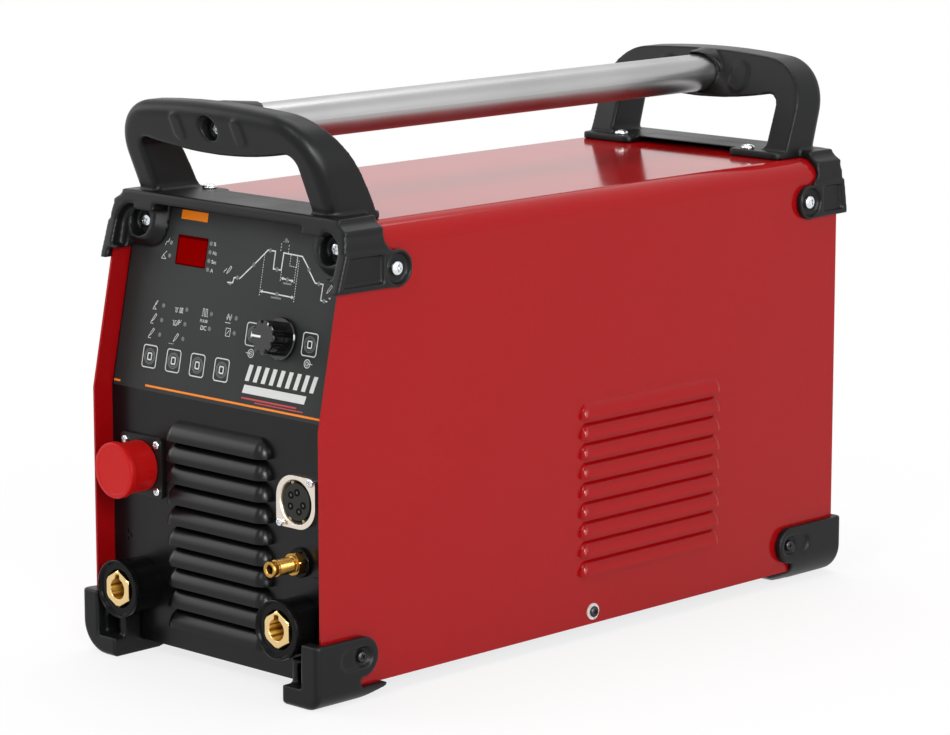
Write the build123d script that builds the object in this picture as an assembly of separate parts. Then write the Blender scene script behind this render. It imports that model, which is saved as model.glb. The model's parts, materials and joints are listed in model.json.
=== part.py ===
from build123d import *
import os
from math import cos, pi, radians, sin, tan

# Portable inverter TIG welding machine. Millimetres.
# Case frame while modelling: X to the right seen from the front, Y towards the rear with
# Y = 0 at the cover's lower front edge, Z up from the floor. Export moves every piece so that
# the origin lies at the middle of the footprint.

# ---------------------------------------------------------------- driving dimensions
# Cover: one folded sheet, open below, in front and behind
cover_width = 203.0
cover_length = 474.8
cover_bottom = 8.5
cover_top = 283.7
cover_sheet = 1.5
cover_fold_radius = 14.0
cover_corner_radius = 4.0

# Front and rear panels
panel_sheet = 2.0
panel_recess = 13.9
panel_break_height = 166.3
panel_tilt = 11.5
panel_flange = 16.0
rear_sheet = 1.5
rear_recess = 12.0
pan_sheet = 1.5
pan_flange = 24.0
side_gap = 0.3
seat_gap = 0.1
press_gap = 0.02

# Louvres
grille_length = 91.0
grille_reach = 8.0
grille_height = 12.2
grille_pitch = 13.0
grille_count = 10
grille_lowest = 23.4
vent_length = 132.0
vent_reach = 4.2
vent_height = 9.6
vent_pitch = 12.6
vent_count = 9
vent_lowest = 41.0
vent_centre_y = 289.5
louvre_sheet = 1.2

# Control panel: u runs across it, v up its slope from the break line
overlay_thickness = 0.6
overlay_half_width = 98.0
overlay_low = 0.6
overlay_high = 114.0
window_width = 27.2
window_height = 18.2
window_place = (-43.2, 89.2)
window_gap = 0.15
window_corner = 0.8
window_step = 1.0
window_setback = 0.1
key_width = 13.4
key_height = 14.6
key_corner = 2.0
key_gap = 0.15
key_travel = 0.5
key_flange = 0.9
key_flange_depth = 0.8
key_places = [(-68.1, 21.5), (-46.3, 21.5), (-24.4, 21.5), (-2.6, 21.5), (21.0, 46.0), (70.0, 46.0)]
lamp_radius = 1.35
lamp_gap = 0.1
unit_lamps = [(-26.8, 95.7), (-26.8, 90.4), (-26.8, 85.1), (-26.8, 79.8), (-62.6, 92.5), (-62.6, 84.5)]
mode_lamp_columns = [(-61.8, 3), (-40.4, 3), (-18.1, 2), (4.2, 2)]
mode_lamp_top = 53.7
mode_lamp_pitch = 9.0
cycle_lamps = [
    (-5.5, 74.0), (0.3, 78.0), (13.1, 87.3), (25.6, 97.2), (33.5, 86.6), (38.2, 104.4),
    (60.6, 89.5), (70.6, 82.2), (76.7, 72.6), (43.5, 81.6), (36.3, 72.0),
]
knob_place = (46.5, 46.5)
knob_skirt_radius = 13.0
knob_skirt_height = 2.6
knob_radius = 10.4
knob_height = 16.5
knob_flutes = 9
knob_flute_radius = 3.2
knob_lift = 0.5
pointer_length = 8.7
pointer_width = 1.3
pointer_depth = 0.4
encoder_shaft_radius = 3.0
shaft_clearance = 0.04
encoder_bush_radius = 4.5
board_bush_gap = 0.5
encoder_side = 14.0
encoder_depth = 7.0
encoder_shaft_tail = 3.5
key_switch_size = 6.0
key_stem_radius = 1.75
key_stem_length = 1.2
board_sink = 0.5
board_thickness = 1.6
board_setback = 9.0
board_width = 160.0
board_low = 6.0
board_high = 108.0
board_spacer_places = [(-76.0, 38.0), (-76.0, 70.0), (76.0, 26.0), (76.0, 62.0)]

# Dust-capped remote connector
remote_place = (-70.6, 119.7)
remote_flange = 38.0
remote_flange_thickness = 2.4
remote_screw_spacing = 29.3
remote_shell_radius = 13.6
remote_shell_length = 12.0
remote_shell_wall = 1.6
remote_tail = 14.0
remote_floor = 2.0
remote_pins = 6
remote_pin_circle = 6.5
remote_pin_radius = 0.8
remote_pin_setback = 3.0
cap_radius = 16.0
cap_rim_radius = 17.6
cap_rim_depth = 4.5
cap_length = 22.4
cap_wall = 2.0
cap_gap = 0.4
cap_rim_rounding = 1.2

# Torch-trigger connector
trigger_place = (68.4, 118.0)
trigger_width = 33.5
trigger_height = 32.0
trigger_thickness = 2.6
trigger_bore_radius = 11.6
trigger_shell_radius = 13.4
trigger_depth = 22.0
trigger_insert_recess = 6.5
trigger_screw_offset = (13.4, 13.7)
trigger_round_corner = 14.5
trigger_ear_corner = 4.0
trigger_contacts = 5
trigger_contact_circle = 5.6
trigger_contact_radius = 1.3
trigger_contact_depth = 9.0
trigger_key_width = 3.0
trigger_key_depth = 1.2
trigger_insert_tail = 4.0

# Gas outlet
outlet_place = (70.2, 81.5)
outlet_reach = 26.0
outlet_hex = 13.0
outlet_hex_height = 5.0
outlet_boss_radius = 9.0
outlet_boss_height = 2.6
outlet_thread_radius = 5.0
outlet_nose_radius = 4.3
outlet_nose_length = 5.0
outlet_bore_radius = 2.6
outlet_tail = 24.0
outlet_hex_turn = 15.0
outlet_thread_tail = 6.0
lock_nut_height = 4.0
hose_bore_radius = 3.9

# Welding sockets
socket_spacing = 144.0
socket_height = 44.5
socket_reach = 22.9
socket_radius = 18.25
socket_rim_depth = 5.0
socket_body_radius = 17.0
socket_face_recess = 2.0
socket_rim_wall = 2.2
socket_spigot_radius = 13.5
socket_spigot_length = 9.0
insert_hex = 20.5
insert_hex_depth = 7.0
insert_radius = 9.5
insert_bore_radius = 6.5
insert_bore_depth = 26.0
insert_slot_width = 4.2
insert_slot_top = 9.0
insert_stud_radius = 5.0
insert_stud_length = 16.0
insert_setback = 0.4
insert_shoulder = 2.0
insert_hex_turn = 30.0
mark_length = 8.0
mark_width = 2.2
mark_rise = 0.5
mark_height = 73.0
plus_x = -87.8
minus_x = 84.7

# Carry handle
tube_radius = 12.5
tube_wall = 2.0
tube_height = 334.0
tube_plug_length = 14.0
arch_half_width = 87.5
arch_top = 350.0
arch_crown_drop = 6.0
arch_corner_radius = 34.0
arch_rim_radius = 7.0
arch_window_rim_radius = 3.0
window_half_width = 68.5
window_side_top = 325.5
window_crown = 318.2
window_top_radius = 7.0
window_foot_radius = 4.0
plate_top = 288.6
plate_tab_inner = 44.0
plate_middle_drop = 8.0
bracket_half_width = 106.0
shoulder_half_width = 104.2
shoulder_fold_radius = 17.0
shoulder_flare = 4.0
closure_inner = 93.0
closure_rim_inner = 100.0
skirt_pocket = 1.5
skirt_rim = 3.0
skirt_bottom = 246.0
ledge_height = 269.0
boss_radius = 11.4
boss_height = 256.4
boss_recess_radius = 8.8
boss_recess_depth = 2.6
pad_inner = 66.0
pad_bottom = 252.0
pad_corner_radius = 15.0
pad_thickness = 9.4
pad_draft = 30.0
lip_drop = 5.0
visor_length = 29.0
visor_wall = 4.0
visor_end_wall = 1.0
plate_tab_corner = 5.0
plate_tab_root = 4.0
tube_screw_recess = 5.2
tube_screw_depth = 3.0
cup_place = (84.6, 268.8)
cup_radius = 8.8
cup_floor = 1.8
plate_screw_x = 56.5

# Front bracket, along Y
front_arch_outer = 26.4
front_arch_inner = 61.5
front_arch_lean = 0.43
front_arch_mid = (45.0, 318.6)
front_arch_crest = 20.5
front_plate_edge = 21.6
front_plate_mid_edge = 48.5
front_tab_edge = 66.0
front_shoulder_edge = 52.0
front_skirt_edge = 11.0
front_ledge_edge = 18.0
front_boss_y = 61.5
front_plate_screw_y = 58.0
front_tube_end = 17.0

# Rear bracket, along Y
rear_arch_outer = 470.0
rear_arch_inner = 438.5
rear_arch_lean = 0.29
rear_arch_mid = (449.5, 318.6)
rear_arch_crest = 460.0
rear_plate_edge = 477.0
rear_plate_mid_edge = 457.0
rear_tab_edge = 429.0
rear_shoulder_edge = 453.0
rear_skirt_edge = 481.5
rear_ledge_edge = 478.0
rear_boss_y = 443.7
rear_plate_screw_y = 436.0
rear_tube_end = 466.5

# Feet
foot_side = 106.5
foot_front = -8.0
foot_rear = 480.0
foot_top = 39.5
foot_wall_inner = 92.0
foot_toe_inner = 76.0
foot_toe_height = 12.0
foot_sole_length = 38.0
foot_sole_ramp = 20.0
foot_ramp_rise = 6.0
foot_round_radius = 12.2
foot_screw_height = 27.0
foot_screw_front = 30.5
foot_screw_rear = 427.5
foot_corner_chamfer = 2.0
foot_lower_radius = 10.0
foot_wide_radius = 20.0
foot_web_inset = 2.0
foot_pad_top = 27.0
foot_cup_width = 11.0
foot_cup_height = 13.0
foot_cup_place = (86.0, 18.5)
foot_cup_floor = 4.0
foot_cup_corner = 3.0
foot_slot_length = 26.0
foot_slot_height = 13.0
foot_slot_depth = 1.6
foot_slot_offset = 5.5

# Screws: shank radius, shank length, head radius, head height
m5_screw = (2.5, 14.0, 4.6, 2.6)
m4_screw = (2.0, 8.0, 3.6, 2.0)
m4_long_screw = (2.0, 22.0, 3.6, 2.0)
m3_screw = (1.5, 8.0, 2.7, 1.7)
screw_hole_gap = 0.25
cover_screw_place = (236.0, 16.5)
washer_radius = 5.2
washer_thickness = 1.0

# Rear equipment
fan_size = 119.0
fan_depth = 25.4
fan_bore_radius = 57.0
fan_blade_radius = 55.6
fan_hub_radius = 21.0
fan_motor_radius = 17.0
fan_shaft_radius = 1.6
fan_blades = 7
fan_hole_offset = 52.5
fan_height = 76.0
fan_corner = 6.0
fan_spider_depth = 6.0
fan_strut_width = 5.0
fan_strut_depth = 3.0
fan_bearing_floor = 1.0
rotor_front_gap = 3.0
rotor_back_gap = 7.0
rotor_shaft_gap = 1.5
blade_pitch = 38.0
blade_chord = 30.0
blade_thickness = 1.8
blade_root = 2.0
guard_wire = 1.8
guard_ring_step = 10.0
guard_rings = 5
guard_first_ring = 13.0
guard_bar_width = 3.0
guard_eye_radius = 5.0
switch_place = (-62.0, 206.0)
switch_width = 26.0
switch_height = 30.0
switch_bezel = 2.0
switch_depth = 24.0
switch_wall = 2.2
switch_pin_depth = 3.0
rocker_half_height = 9.0
switch_pin_radius = 1.5
rocker_gap = 0.5
switch_rim = 2.0
switch_corner = 2.0
switch_floor = 6.0
switch_pin_length = 3.4
rocker_high = 3.4
rocker_middle = 2.0
rocker_low = -0.9
rocker_foot = -6.5
rocker_foot_half = 6.5
gland_place = (62.0, 206.0)
gland_thread_radius = 10.0
gland_hex = 26.0
gland_reach = 24.0
gland_bore_radius = 5.2
gland_hex_height = 6.0
gland_dome_chamfer = 3.0
gland_nut = 5.0
gland_tail = 10.0
inlet_place = (62.0, 160.0)
inlet_radius = 6.58
inlet_tail_gap = 0.5
inlet_reach = 16.0
inlet_hex = 19.0
inlet_hex_height = 6.0
inlet_bore_radius = 1.5
inlet_thread_tail = 8.0

# Inside
shelf_height = 146.0
shelf_sheet = 1.5
shelf_front = 116.0
shelf_inset = 6.0
shelf_opening = 26.0
power_board_size = (150.0, 236.0)
power_board_height = 26.0
power_board_front = 150.0
spacer_radius = 4.0
spacer_inset = 8.0
heat_sink_width = 38.0
heat_sink_length = 170.0
heat_sink_height = 62.0
heat_sink_fins = 7
heat_sink_fin = 1.8
heat_sink_base = 6.0
heat_sink_offset = 50.0
heat_sink_start = 12.0
transformer_size = (56.0, 29.0, 56.0)
transformer_start = 30.0
transformer_coil_inset = 6.0
transformer_coil_length = 42.0
capacitor_radius = 17.5
capacitor_height = 46.0
capacitor_start = 130.0
capacitor_gap = 3.0
choke_radius = 30.0
choke_bore_radius = 13.0
choke_depth = 34.0
choke_y = 92.0
choke_lift = 3.0
choke_foot_half = 24.0
choke_foot_height = 12.0
bus_half_width = 8.0
bus_thickness = 3.0
bus_landing = 6.0
igniter_size = (70.0, 60.0, 40.0)
igniter_start = 60.0
igniter_corner = 4.0
igniter_post = (14.0, 10.0)
valve_place = (62.0, 412.0)
valve_height = 160.0
valve_half_width = 12.0
valve_half_depth = 10.0
valve_half_height = 11.0
valve_strap = 3.0
valve_guide_radius = 7.0
valve_guide_top = 45.0
valve_guide_end = 3.0
valve_seat = 4.0
valve_port_radius = 1.5
valve_port_end = 9.0
valve_stub = 14.0
coil_top = 41.0
coil_lift = 0.2
plunger_radius = 4.0
plunger_length = 18.0
plunger_rest = 1.0

# Gas hose
hose_wall = 2.0
hose_overlap = 10.0
hose_side_x = 84.0
hose_side_z = 166.0
hose_leave_run = 60.0
hose_cross_run = 110.0
hose_drop_start = 100.0
hose_drop_middle = (62.0, 120.0)
hose_drop_end = 52.0
hose_bends = [30.0, 30.0, 24.0, 24.0, 8.0]

half_width = cover_width / 2
panel_half = half_width - cover_sheet - side_gap
inner_top = cover_top - cover_sheet - side_gap
rear_face = cover_length - rear_recess
rear_inner = rear_face - rear_sheet
slope = tan(radians(panel_tilt))
pan_top = cover_bottom + pan_sheet
stud_y = panel_recess + panel_sheet + socket_spigot_length + insert_shoulder


# ---------------------------------------------------------------- places and simple forms
def block(low, high):
    """Box between two corners."""
    size = [high[i] - low[i] for i in range(3)]
    centre = [(high[i] + low[i]) / 2 for i in range(3)]
    return Pos(*centre) * Box(*size)


def facing_front(x, y, z):
    """Place whose local Z points out of the front, local Y up."""
    return Plane(origin=(x, y, z), x_dir=(1, 0, 0), z_dir=(0, -1, 0)).location


def facing_rear(x, y, z):
    """Place whose local Z points out of the rear, local Y up."""
    return Plane(origin=(x, y, z), x_dir=(-1, 0, 0), z_dir=(0, 1, 0)).location


def facing_side(side, x, y, z):
    """Place whose local Z points out of the right (side 1) or left (side -1), local Y up."""
    return Plane(origin=(side * x, y, z), x_dir=(0, side, 0), z_dir=(side, 0, 0)).location


def facing_up(x, y, z):
    """Place whose local Z points up."""
    return Location((x, y, z))


def on_slope(u, v, lift=0.0):
    """Place on the tilted control panel: u across, v up the slope, lift off its metal face."""
    tilt = radians(panel_tilt)
    y = panel_recess + v * sin(tilt) - lift * cos(tilt)
    z = panel_break_height + v * cos(tilt) + lift * sin(tilt)
    return Plane(origin=(u, y, z), x_dir=(1, 0, 0), z_dir=(0, -cos(tilt), sin(tilt))).location


def rod(place, radius, top, bottom):
    """Cylinder about the place's Z, between two heights along it."""
    return place * Pos(0, 0, (top + bottom) / 2) * Cylinder(radius, top - bottom)


def tablet(place, width, height, corner, top, bottom):
    """Rounded rectangular plate about the place's Z, between two heights along it."""
    plate = RectangleRounded(width, height, corner)
    return place * Pos(0, 0, bottom) * extrude(plate, top - bottom)


def hex_rod(place, flats, top, bottom):
    """Hexagonal prism, given across flats."""
    shape = RegularPolygon(flats / 2, 6, major_radius=False)
    return place * Pos(0, 0, bottom) * extrude(shape, top - bottom)


def screw(place, kind):
    """Pan-head screw with a cross recess, head above the place, shank below it."""
    shank_radius, shank_length, head_radius, head_height = kind
    head = Cylinder(head_radius, head_height)
    head = fillet(head.edges().group_by(Axis.Z)[-1], head_height * 0.55)
    head = Pos(0, 0, head_height / 2) * head
    shank = Pos(0, 0, -shank_length / 2) * Cylinder(shank_radius, shank_length)
    arm = head_radius * 1.1
    slot = head_radius * 0.22
    depth = head_height * 0.5
    cross = Box(arm, slot, 2 * depth) + Box(slot, arm, 2 * depth)
    return place * (head + shank - Pos(0, 0, head_height) * cross)


def drill(place, kind, above=0.0):
    """Clearance hole for a screw that sits at the place."""
    return rod(place, kind[0] + screw_hole_gap, above, -kind[1] - 1)


def group(solids):
    """Separate solids kept together as one node."""
    return Compound(list(solids))


def settled(node, shift):
    """Node moved to its final place, still as plain solids."""
    solids = [shift * solid for solid in node.solids()]
    return solids[0] if len(solids) == 1 else Compound(solids)


def case_section(half, bottom, top, fold):
    """Upright case outline across the machine, rounded at its two top corners."""
    plate = Pos(0, (bottom + top) / 2) * Rectangle(2 * half, top - bottom)
    return fillet(plate.vertices().group_by(Axis.Y)[-1], fold)


def run_along_y(section, start, end):
    """Section drawn in X and Z, extruded from one Y to another."""
    return Pos(0, start, 0) * extrude(Plane.XZ * section, -(end - start))


def run_across(outline, reach):
    """Outline drawn in Y and Z, extruded to both sides."""
    return extrude(Plane.YZ * outline, reach, both=True)


def polygon(*points):
    """Closed straight-sided face."""
    return make_face(Polyline(*points, close=True))


def inside_cover(margin=0.0):
    """Room inside the cover, less a margin, over the whole length."""
    section = case_section(panel_half - margin, cover_bottom, inner_top - margin,
                           cover_fold_radius - cover_sheet - side_gap - margin)
    return run_along_y(section, -cover_length, 2 * cover_length)


def front_edge(z):
    """Y of the cover's front edge at a height."""
    return max(0.0, (z - panel_break_height) * slope)


def louvre(length, reach, height):
    """Hood of a pressed louvre: local X along it, Y up, Z out; turned ends, open below."""
    profile = make_face(
        [
            Line((0, 0), (0, reach)),
            ThreePointArc((0, reach), (height * 0.60, reach * 0.74), (height, 0)),
            Line((height, 0), (0, 0)),
        ]
    )
    half_run = length / 2 - reach
    middle = extrude(Plane.YZ * profile, half_run, both=True)
    turned = revolve(Plane.YZ * profile, Axis.Y, 90)
    return middle + Pos(half_run, 0, 0) * turned + Pos(-half_run, 0, 0) * mirror(turned, Plane.YZ)


def louvre_hood(length, reach, height):
    """Thin-walled hood of a louvre."""
    wall = louvre_sheet
    hollow = louvre(length - 2 * wall, reach - wall, height - wall)
    return louvre(length, reach, height) - hollow


def louvre_slot(length, reach, height, sheet):
    """Air gap cut through the sheet behind a louvre."""
    wall = louvre_sheet
    return block((-length / 2 + reach, 0, -sheet - 1), (length / 2 - reach, height * 0.7, wall / 4))


# ---------------------------------------------------------------- shared fastener places
def front_cup_places():
    """Seats of the two screws in the front pads."""
    u, z = cup_place
    floor = panel_face_y(z) - overlay_thickness - seat_gap - cup_floor
    return [facing_front(side * u, floor, z) for side in (-1, 1)]


def rear_cup_places():
    """Seats of the two screws in the rear pads."""
    u, z = cup_place
    return [facing_rear(side * u, rear_face + overlay_thickness + cup_floor, z) for side in (-1, 1)]


def panel_face_y(z):
    """Y of the front panel's metal face at a height."""
    return panel_recess + front_edge(z)


def plate_screw_places():
    """Seats of the four screws in the bracket plates."""
    return [
        facing_up(side * plate_screw_x, y, plate_top)
        for side in (-1, 1)
        for y in (front_plate_screw_y, rear_plate_screw_y)
    ]


def boss_screw_places():
    """Seats of the four screws in the side bosses."""
    seat = bracket_half_width - boss_recess_depth
    return [
        facing_side(side, seat, y, boss_height)
        for side in (-1, 1)
        for y in (front_boss_y, rear_boss_y)
    ]


def foot_screw_places():
    """Seats of the four screws in the feet."""
    seat = foot_side - foot_slot_depth
    return [
        facing_side(side, seat, y, foot_screw_height)
        for side in (-1, 1)
        for y in (foot_screw_front, foot_screw_rear)
    ]


def toe_screw_places():
    """Seats of the four screws through the feet into the panels."""
    x, z = foot_cup_place
    front = panel_recess - seat_gap - foot_cup_floor
    rear = rear_face + seat_gap + foot_cup_floor
    places = [facing_front(side * x, front, z) for side in (-1, 1)]
    return places + [facing_rear(side * x, rear, z) for side in (-1, 1)]


def cover_screw_places():
    """Seats of the two screws low on the cover's sides, outside their washers."""
    y, z = cover_screw_place
    return [facing_side(side, half_width + washer_thickness, y, z) for side in (-1, 1)]


def remote_screw_places():
    """Seats of the four screws of the remote connector."""
    x, z = remote_place
    half = remote_screw_spacing / 2
    y = panel_recess - remote_flange_thickness
    return [facing_front(x + i * half, y, z + k * half) for i in (-1, 1) for k in (-1, 1)]


def trigger_screw_places():
    """Seats of the two screws of the trigger connector."""
    x, z = trigger_place
    dx, dz = trigger_screw_offset
    y = panel_recess - trigger_thickness
    return [facing_front(x + side * dx, y, z + side * dz) for side in (-1, 1)]


def fan_screw_places():
    """Seats of the four screws that hold the guard and the fan."""
    y = rear_face + guard_wire
    return [
        facing_rear(i * fan_hole_offset, y, fan_height + k * fan_hole_offset)
        for i in (-1, 1)
        for k in (-1, 1)
    ]


def lamp_places():
    """All status lamps on the control panel."""
    places = unit_lamps + cycle_lamps
    for u, count in mode_lamp_columns:
        places = places + [(u, mode_lamp_top - row * mode_lamp_pitch) for row in range(count)]
    return places


# ---------------------------------------------------------------- case
def make_cover():
    outer = case_section(half_width, cover_bottom, cover_top, cover_fold_radius)
    inner = case_section(
        half_width - cover_sheet, cover_bottom, cover_top - cover_sheet, cover_fold_radius - cover_sheet
    )
    side = polygon(
        (0, cover_bottom),
        (cover_length, cover_bottom),
        (cover_length, cover_top),
        (front_edge(cover_top), cover_top),
        (0, panel_break_height),
    )
    side = fillet(side.vertices().group_by(Axis.Y)[0], cover_corner_radius)
    cover = run_along_y(outer - inner, 0, cover_length) & run_across(side, half_width)
    for side_sign in (-1, 1):
        for row in range(vent_count):
            place = facing_side(side_sign, half_width, vent_centre_y, vent_lowest + row * vent_pitch)
            cover -= place * louvre_slot(vent_length, vent_reach, vent_height, cover_sheet)
            cover += place * louvre_hood(vent_length, vent_reach, vent_height)
    for place in boss_screw_places() + plate_screw_places():
        cover -= drill(place, m5_screw)
    for place in foot_screw_places() + cover_screw_places():
        cover -= drill(place, m4_screw)
    return cover


def make_base_pan():
    front = panel_recess + panel_sheet
    floor = block((-panel_half, front, cover_bottom), (panel_half, rear_inner, pan_top))
    wall_top = pan_top + pan_flange
    for side in (-1, 1):
        x = sorted((side * panel_half, side * (panel_half - pan_sheet)))
        floor += block((x[0], front, cover_bottom), (x[1], rear_inner, wall_top))
    for place in foot_screw_places() + cover_screw_places():
        floor -= drill(place, m4_screw)
    return floor


def sloped_strip(near, far, low, high):
    """YZ outline that follows the front panel, between two depths behind its face."""
    lean = 1 / cos(radians(panel_tilt))
    top_shift = (high - panel_break_height) * slope
    return polygon(
        (panel_recess + near, low),
        (panel_recess + near, panel_break_height),
        (panel_recess + near * lean + top_shift, high),
        (panel_recess + far * lean + top_shift, high),
        (panel_recess + far, panel_break_height),
        (panel_recess + far, low),
    )


def make_front_panel():
    panel = run_across(sloped_strip(0, panel_sheet, cover_bottom, inner_top), panel_half)
    web = sloped_strip(panel_sheet, panel_flange, pan_top + pan_flange + 1, inner_top)
    for side in (-1, 1):
        middle = side * (panel_half - panel_sheet / 2)
        panel += Pos(middle, 0, 0) * run_across(web, panel_sheet / 2)
    panel += block(
        (-panel_half + pan_sheet + 1, panel_recess, pan_top),
        (panel_half - pan_sheet - 1, panel_recess + panel_flange, pan_top + panel_sheet),
    )
    for row in range(grille_count):
        place = facing_front(0, panel_recess, grille_lowest + row * grille_pitch)
        panel -= place * louvre_slot(grille_length, grille_reach, grille_height, panel_sheet)
        panel += place * louvre_hood(grille_length, grille_reach, grille_height)
    for side in (-1, 1):
        centre = facing_front(side * socket_spacing / 2, panel_recess, socket_height)
        panel -= rod(centre, socket_spigot_radius + seat_gap, 1, -panel_flange)
    panel -= rod(facing_front(remote_place[0], panel_recess, remote_place[1]),
                 remote_shell_radius + seat_gap, 1, -panel_flange)
    panel -= rod(facing_front(trigger_place[0], panel_recess, trigger_place[1]),
                 trigger_shell_radius + seat_gap, 1, -panel_flange)
    panel -= rod(facing_front(outlet_place[0], panel_recess, outlet_place[1]),
                 outlet_thread_radius + seat_gap, 1, -panel_flange)
    panel += polarity_marks()
    below = -panel_sheet - 1
    panel -= tablet(on_slope(*window_place), window_width + 2 * window_gap,
                    window_height + 2 * window_gap, 1.0, 1, below)
    for place in key_places:
        panel -= tablet(on_slope(*place), key_width + 2 * key_gap, key_height + 2 * key_gap,
                        key_corner, 1, below)
    for place in lamp_places():
        panel -= rod(on_slope(*place), lamp_radius + lamp_gap, 1, below)
    panel -= rod(on_slope(*knob_place), encoder_bush_radius + seat_gap, 1, below)
    for place in remote_screw_places() + trigger_screw_places():
        panel -= drill(place, m3_screw)
    for place in front_cup_places():
        panel -= drill(place, m5_screw)
    for place in toe_screw_places():
        panel -= drill(place, m4_screw)
    return panel & inside_cover()


def polarity_marks():
    """Raised plus and minus beside the sockets."""
    bar = Box(mark_length, mark_width, 2 * mark_rise)
    plus = bar + Box(mark_width, mark_length, 2 * mark_rise)
    marks = facing_front(plus_x, panel_recess, mark_height) * plus
    return marks + facing_front(minus_x, panel_recess, mark_height) * bar


def make_rear_panel():
    panel = block((-panel_half, rear_inner, cover_bottom), (panel_half, rear_face, inner_top))
    edge = panel_flange
    wall = rear_sheet
    low = pan_top + pan_flange + 1
    for side in (-1, 1):
        x = sorted((side * panel_half, side * (panel_half - wall)))
        panel += block((x[0], rear_inner - edge, low), (x[1], rear_inner, inner_top))
    half_seat = panel_half - pan_sheet - 1
    panel += block((-half_seat, rear_inner - edge / 2, pan_top), (half_seat, rear_inner, pan_top + wall))
    through = facing_rear(0, rear_face, fan_height)
    panel -= rod(through, fan_bore_radius, 1, -rear_sheet - 1)
    for place in fan_screw_places():
        panel -= drill(place, m4_screw)
    x, z = switch_place
    panel -= tablet(facing_rear(x, rear_face, z), switch_width - 2 * switch_bezel + 2 * seat_gap,
                    switch_height - 2 * switch_bezel + 2 * seat_gap, 1.0, 1, -rear_sheet - 1)
    x, z = gland_place
    panel -= rod(facing_rear(x, rear_face, z), gland_thread_radius + seat_gap, 1, -edge)
    x, z = inlet_place
    panel -= rod(facing_rear(x, rear_face, z), inlet_radius + seat_gap, 1, -edge)
    for place in rear_cup_places() + boss_screw_places():
        panel -= drill(place, m5_screw)
    for place in toe_screw_places():
        panel -= drill(place, m4_screw)
    return panel & inside_cover()


# ---------------------------------------------------------------- control panel
def make_overlay():
    middle_v = (overlay_low + overlay_high) / 2
    foil = tablet(on_slope(0, middle_v), 2 * overlay_half_width, overlay_high - overlay_low, 1.0,
                  overlay_thickness, 0)
    top = overlay_thickness + 1
    foil -= tablet(on_slope(*window_place), window_width + 2 * window_gap,
                   window_height + 2 * window_gap, 1.0, top, -1)
    for place in key_places:
        foil -= tablet(on_slope(*place), key_width + 2 * key_gap, key_height + 2 * key_gap,
                       key_corner, top, -1)
    for place in lamp_places():
        foil -= rod(on_slope(*place), lamp_radius + lamp_gap, top, -1)
    foil -= rod(on_slope(*knob_place), encoder_bush_radius + seat_gap, top, -1)
    for place in front_cup_places():
        foil -= drill(place, m5_screw)
    return foil & inside_cover(panel_half - overlay_half_width)


def make_display_window():
    place = on_slope(*window_place)
    lens = tablet(place, window_width, window_height, window_corner,
                  overlay_thickness - window_setback, -panel_sheet)
    return lens + tablet(place, window_width - 2 * window_step, window_height - 2 * window_step,
                         window_corner, -panel_sheet, seat_gap - board_setback)


def make_key(index):
    """Push key: cap flush with the foil, flange behind the panel that stops it coming out."""
    place = on_slope(*key_places[index])
    back = -panel_sheet - key_gap
    cap = tablet(place, key_width, key_height, key_corner, overlay_thickness, back - key_flange_depth)
    return cap + tablet(place, key_width + 2 * key_flange, key_height + 2 * key_flange, key_corner,
                        back, back - key_flange_depth)


def make_lamps():
    bottom = -board_setback + seat_gap
    return group(
        rod(on_slope(*place), lamp_radius, overlay_thickness, bottom) for place in lamp_places()
    )


def make_control_board():
    """Circuit board behind the control panel, with key switches and four spacers."""
    centre = on_slope(0, (board_low + board_high) / 2)
    back = -board_setback - board_thickness
    board = tablet(centre, board_width, board_high - board_low, 2, -board_setback, back)
    board -= rod(on_slope(*knob_place), encoder_bush_radius + board_bush_gap, 0, back - 1)
    key_back = -panel_sheet - key_gap - key_flange_depth - key_travel - seat_gap
    for place in key_places:
        board += tablet(on_slope(*place), key_switch_size, key_switch_size, 0.5,
                        key_back - key_stem_length, -board_setback - board_sink)
        board += rod(on_slope(*place), key_stem_radius, key_back, -board_setback)
    for place in board_spacer_places:
        board += rod(on_slope(*place), spacer_radius, -panel_sheet, -board_setback - board_sink)
    return board


def make_encoder_body():
    """Encoder case behind the board with its threaded bush through the panel."""
    place = on_slope(*knob_place)
    back = -board_setback - board_thickness
    body = tablet(place, encoder_side, encoder_side, 0.5, back, back - encoder_depth)
    body += rod(place, encoder_bush_radius, overlay_thickness, back)
    return body - rod(place, encoder_shaft_radius + shaft_clearance, overlay_thickness + 1, back - 4)


def make_encoder_shaft():
    place = on_slope(*knob_place)
    back = -board_setback - board_thickness - encoder_shaft_tail
    return rod(place, encoder_shaft_radius, overlay_thickness + knob_height * 0.7, back)


def make_knob():
    """Fluted knob on a round skirt."""
    place = on_slope(*knob_place)
    base = overlay_thickness + knob_lift
    skirt = rod(place, knob_skirt_radius, base + knob_skirt_height, base)
    grip = rod(place, knob_radius, base + knob_height, base)
    for index in range(knob_flutes):
        angle = 2 * pi * (index + 0.5) / knob_flutes
        reach = knob_radius + knob_flute_radius * 0.72
        flute = place * Pos(reach * cos(angle), reach * sin(angle), 0)
        grip -= rod(flute, knob_flute_radius, base + knob_height + 1, base + knob_skirt_height)
    bore = rod(place, encoder_shaft_radius + press_gap, base - 1 + knob_height * 0.75, base - 1)
    return skirt + grip - bore - make_knob_pointer()


def make_knob_pointer():
    """Pale line let into the knob's face."""
    place = on_slope(*knob_place)
    middle = overlay_thickness + knob_lift + knob_height - pointer_depth / 2
    return place * Pos(-knob_radius / 2, 0, middle) * Box(pointer_length, pointer_width, pointer_depth)


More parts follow.
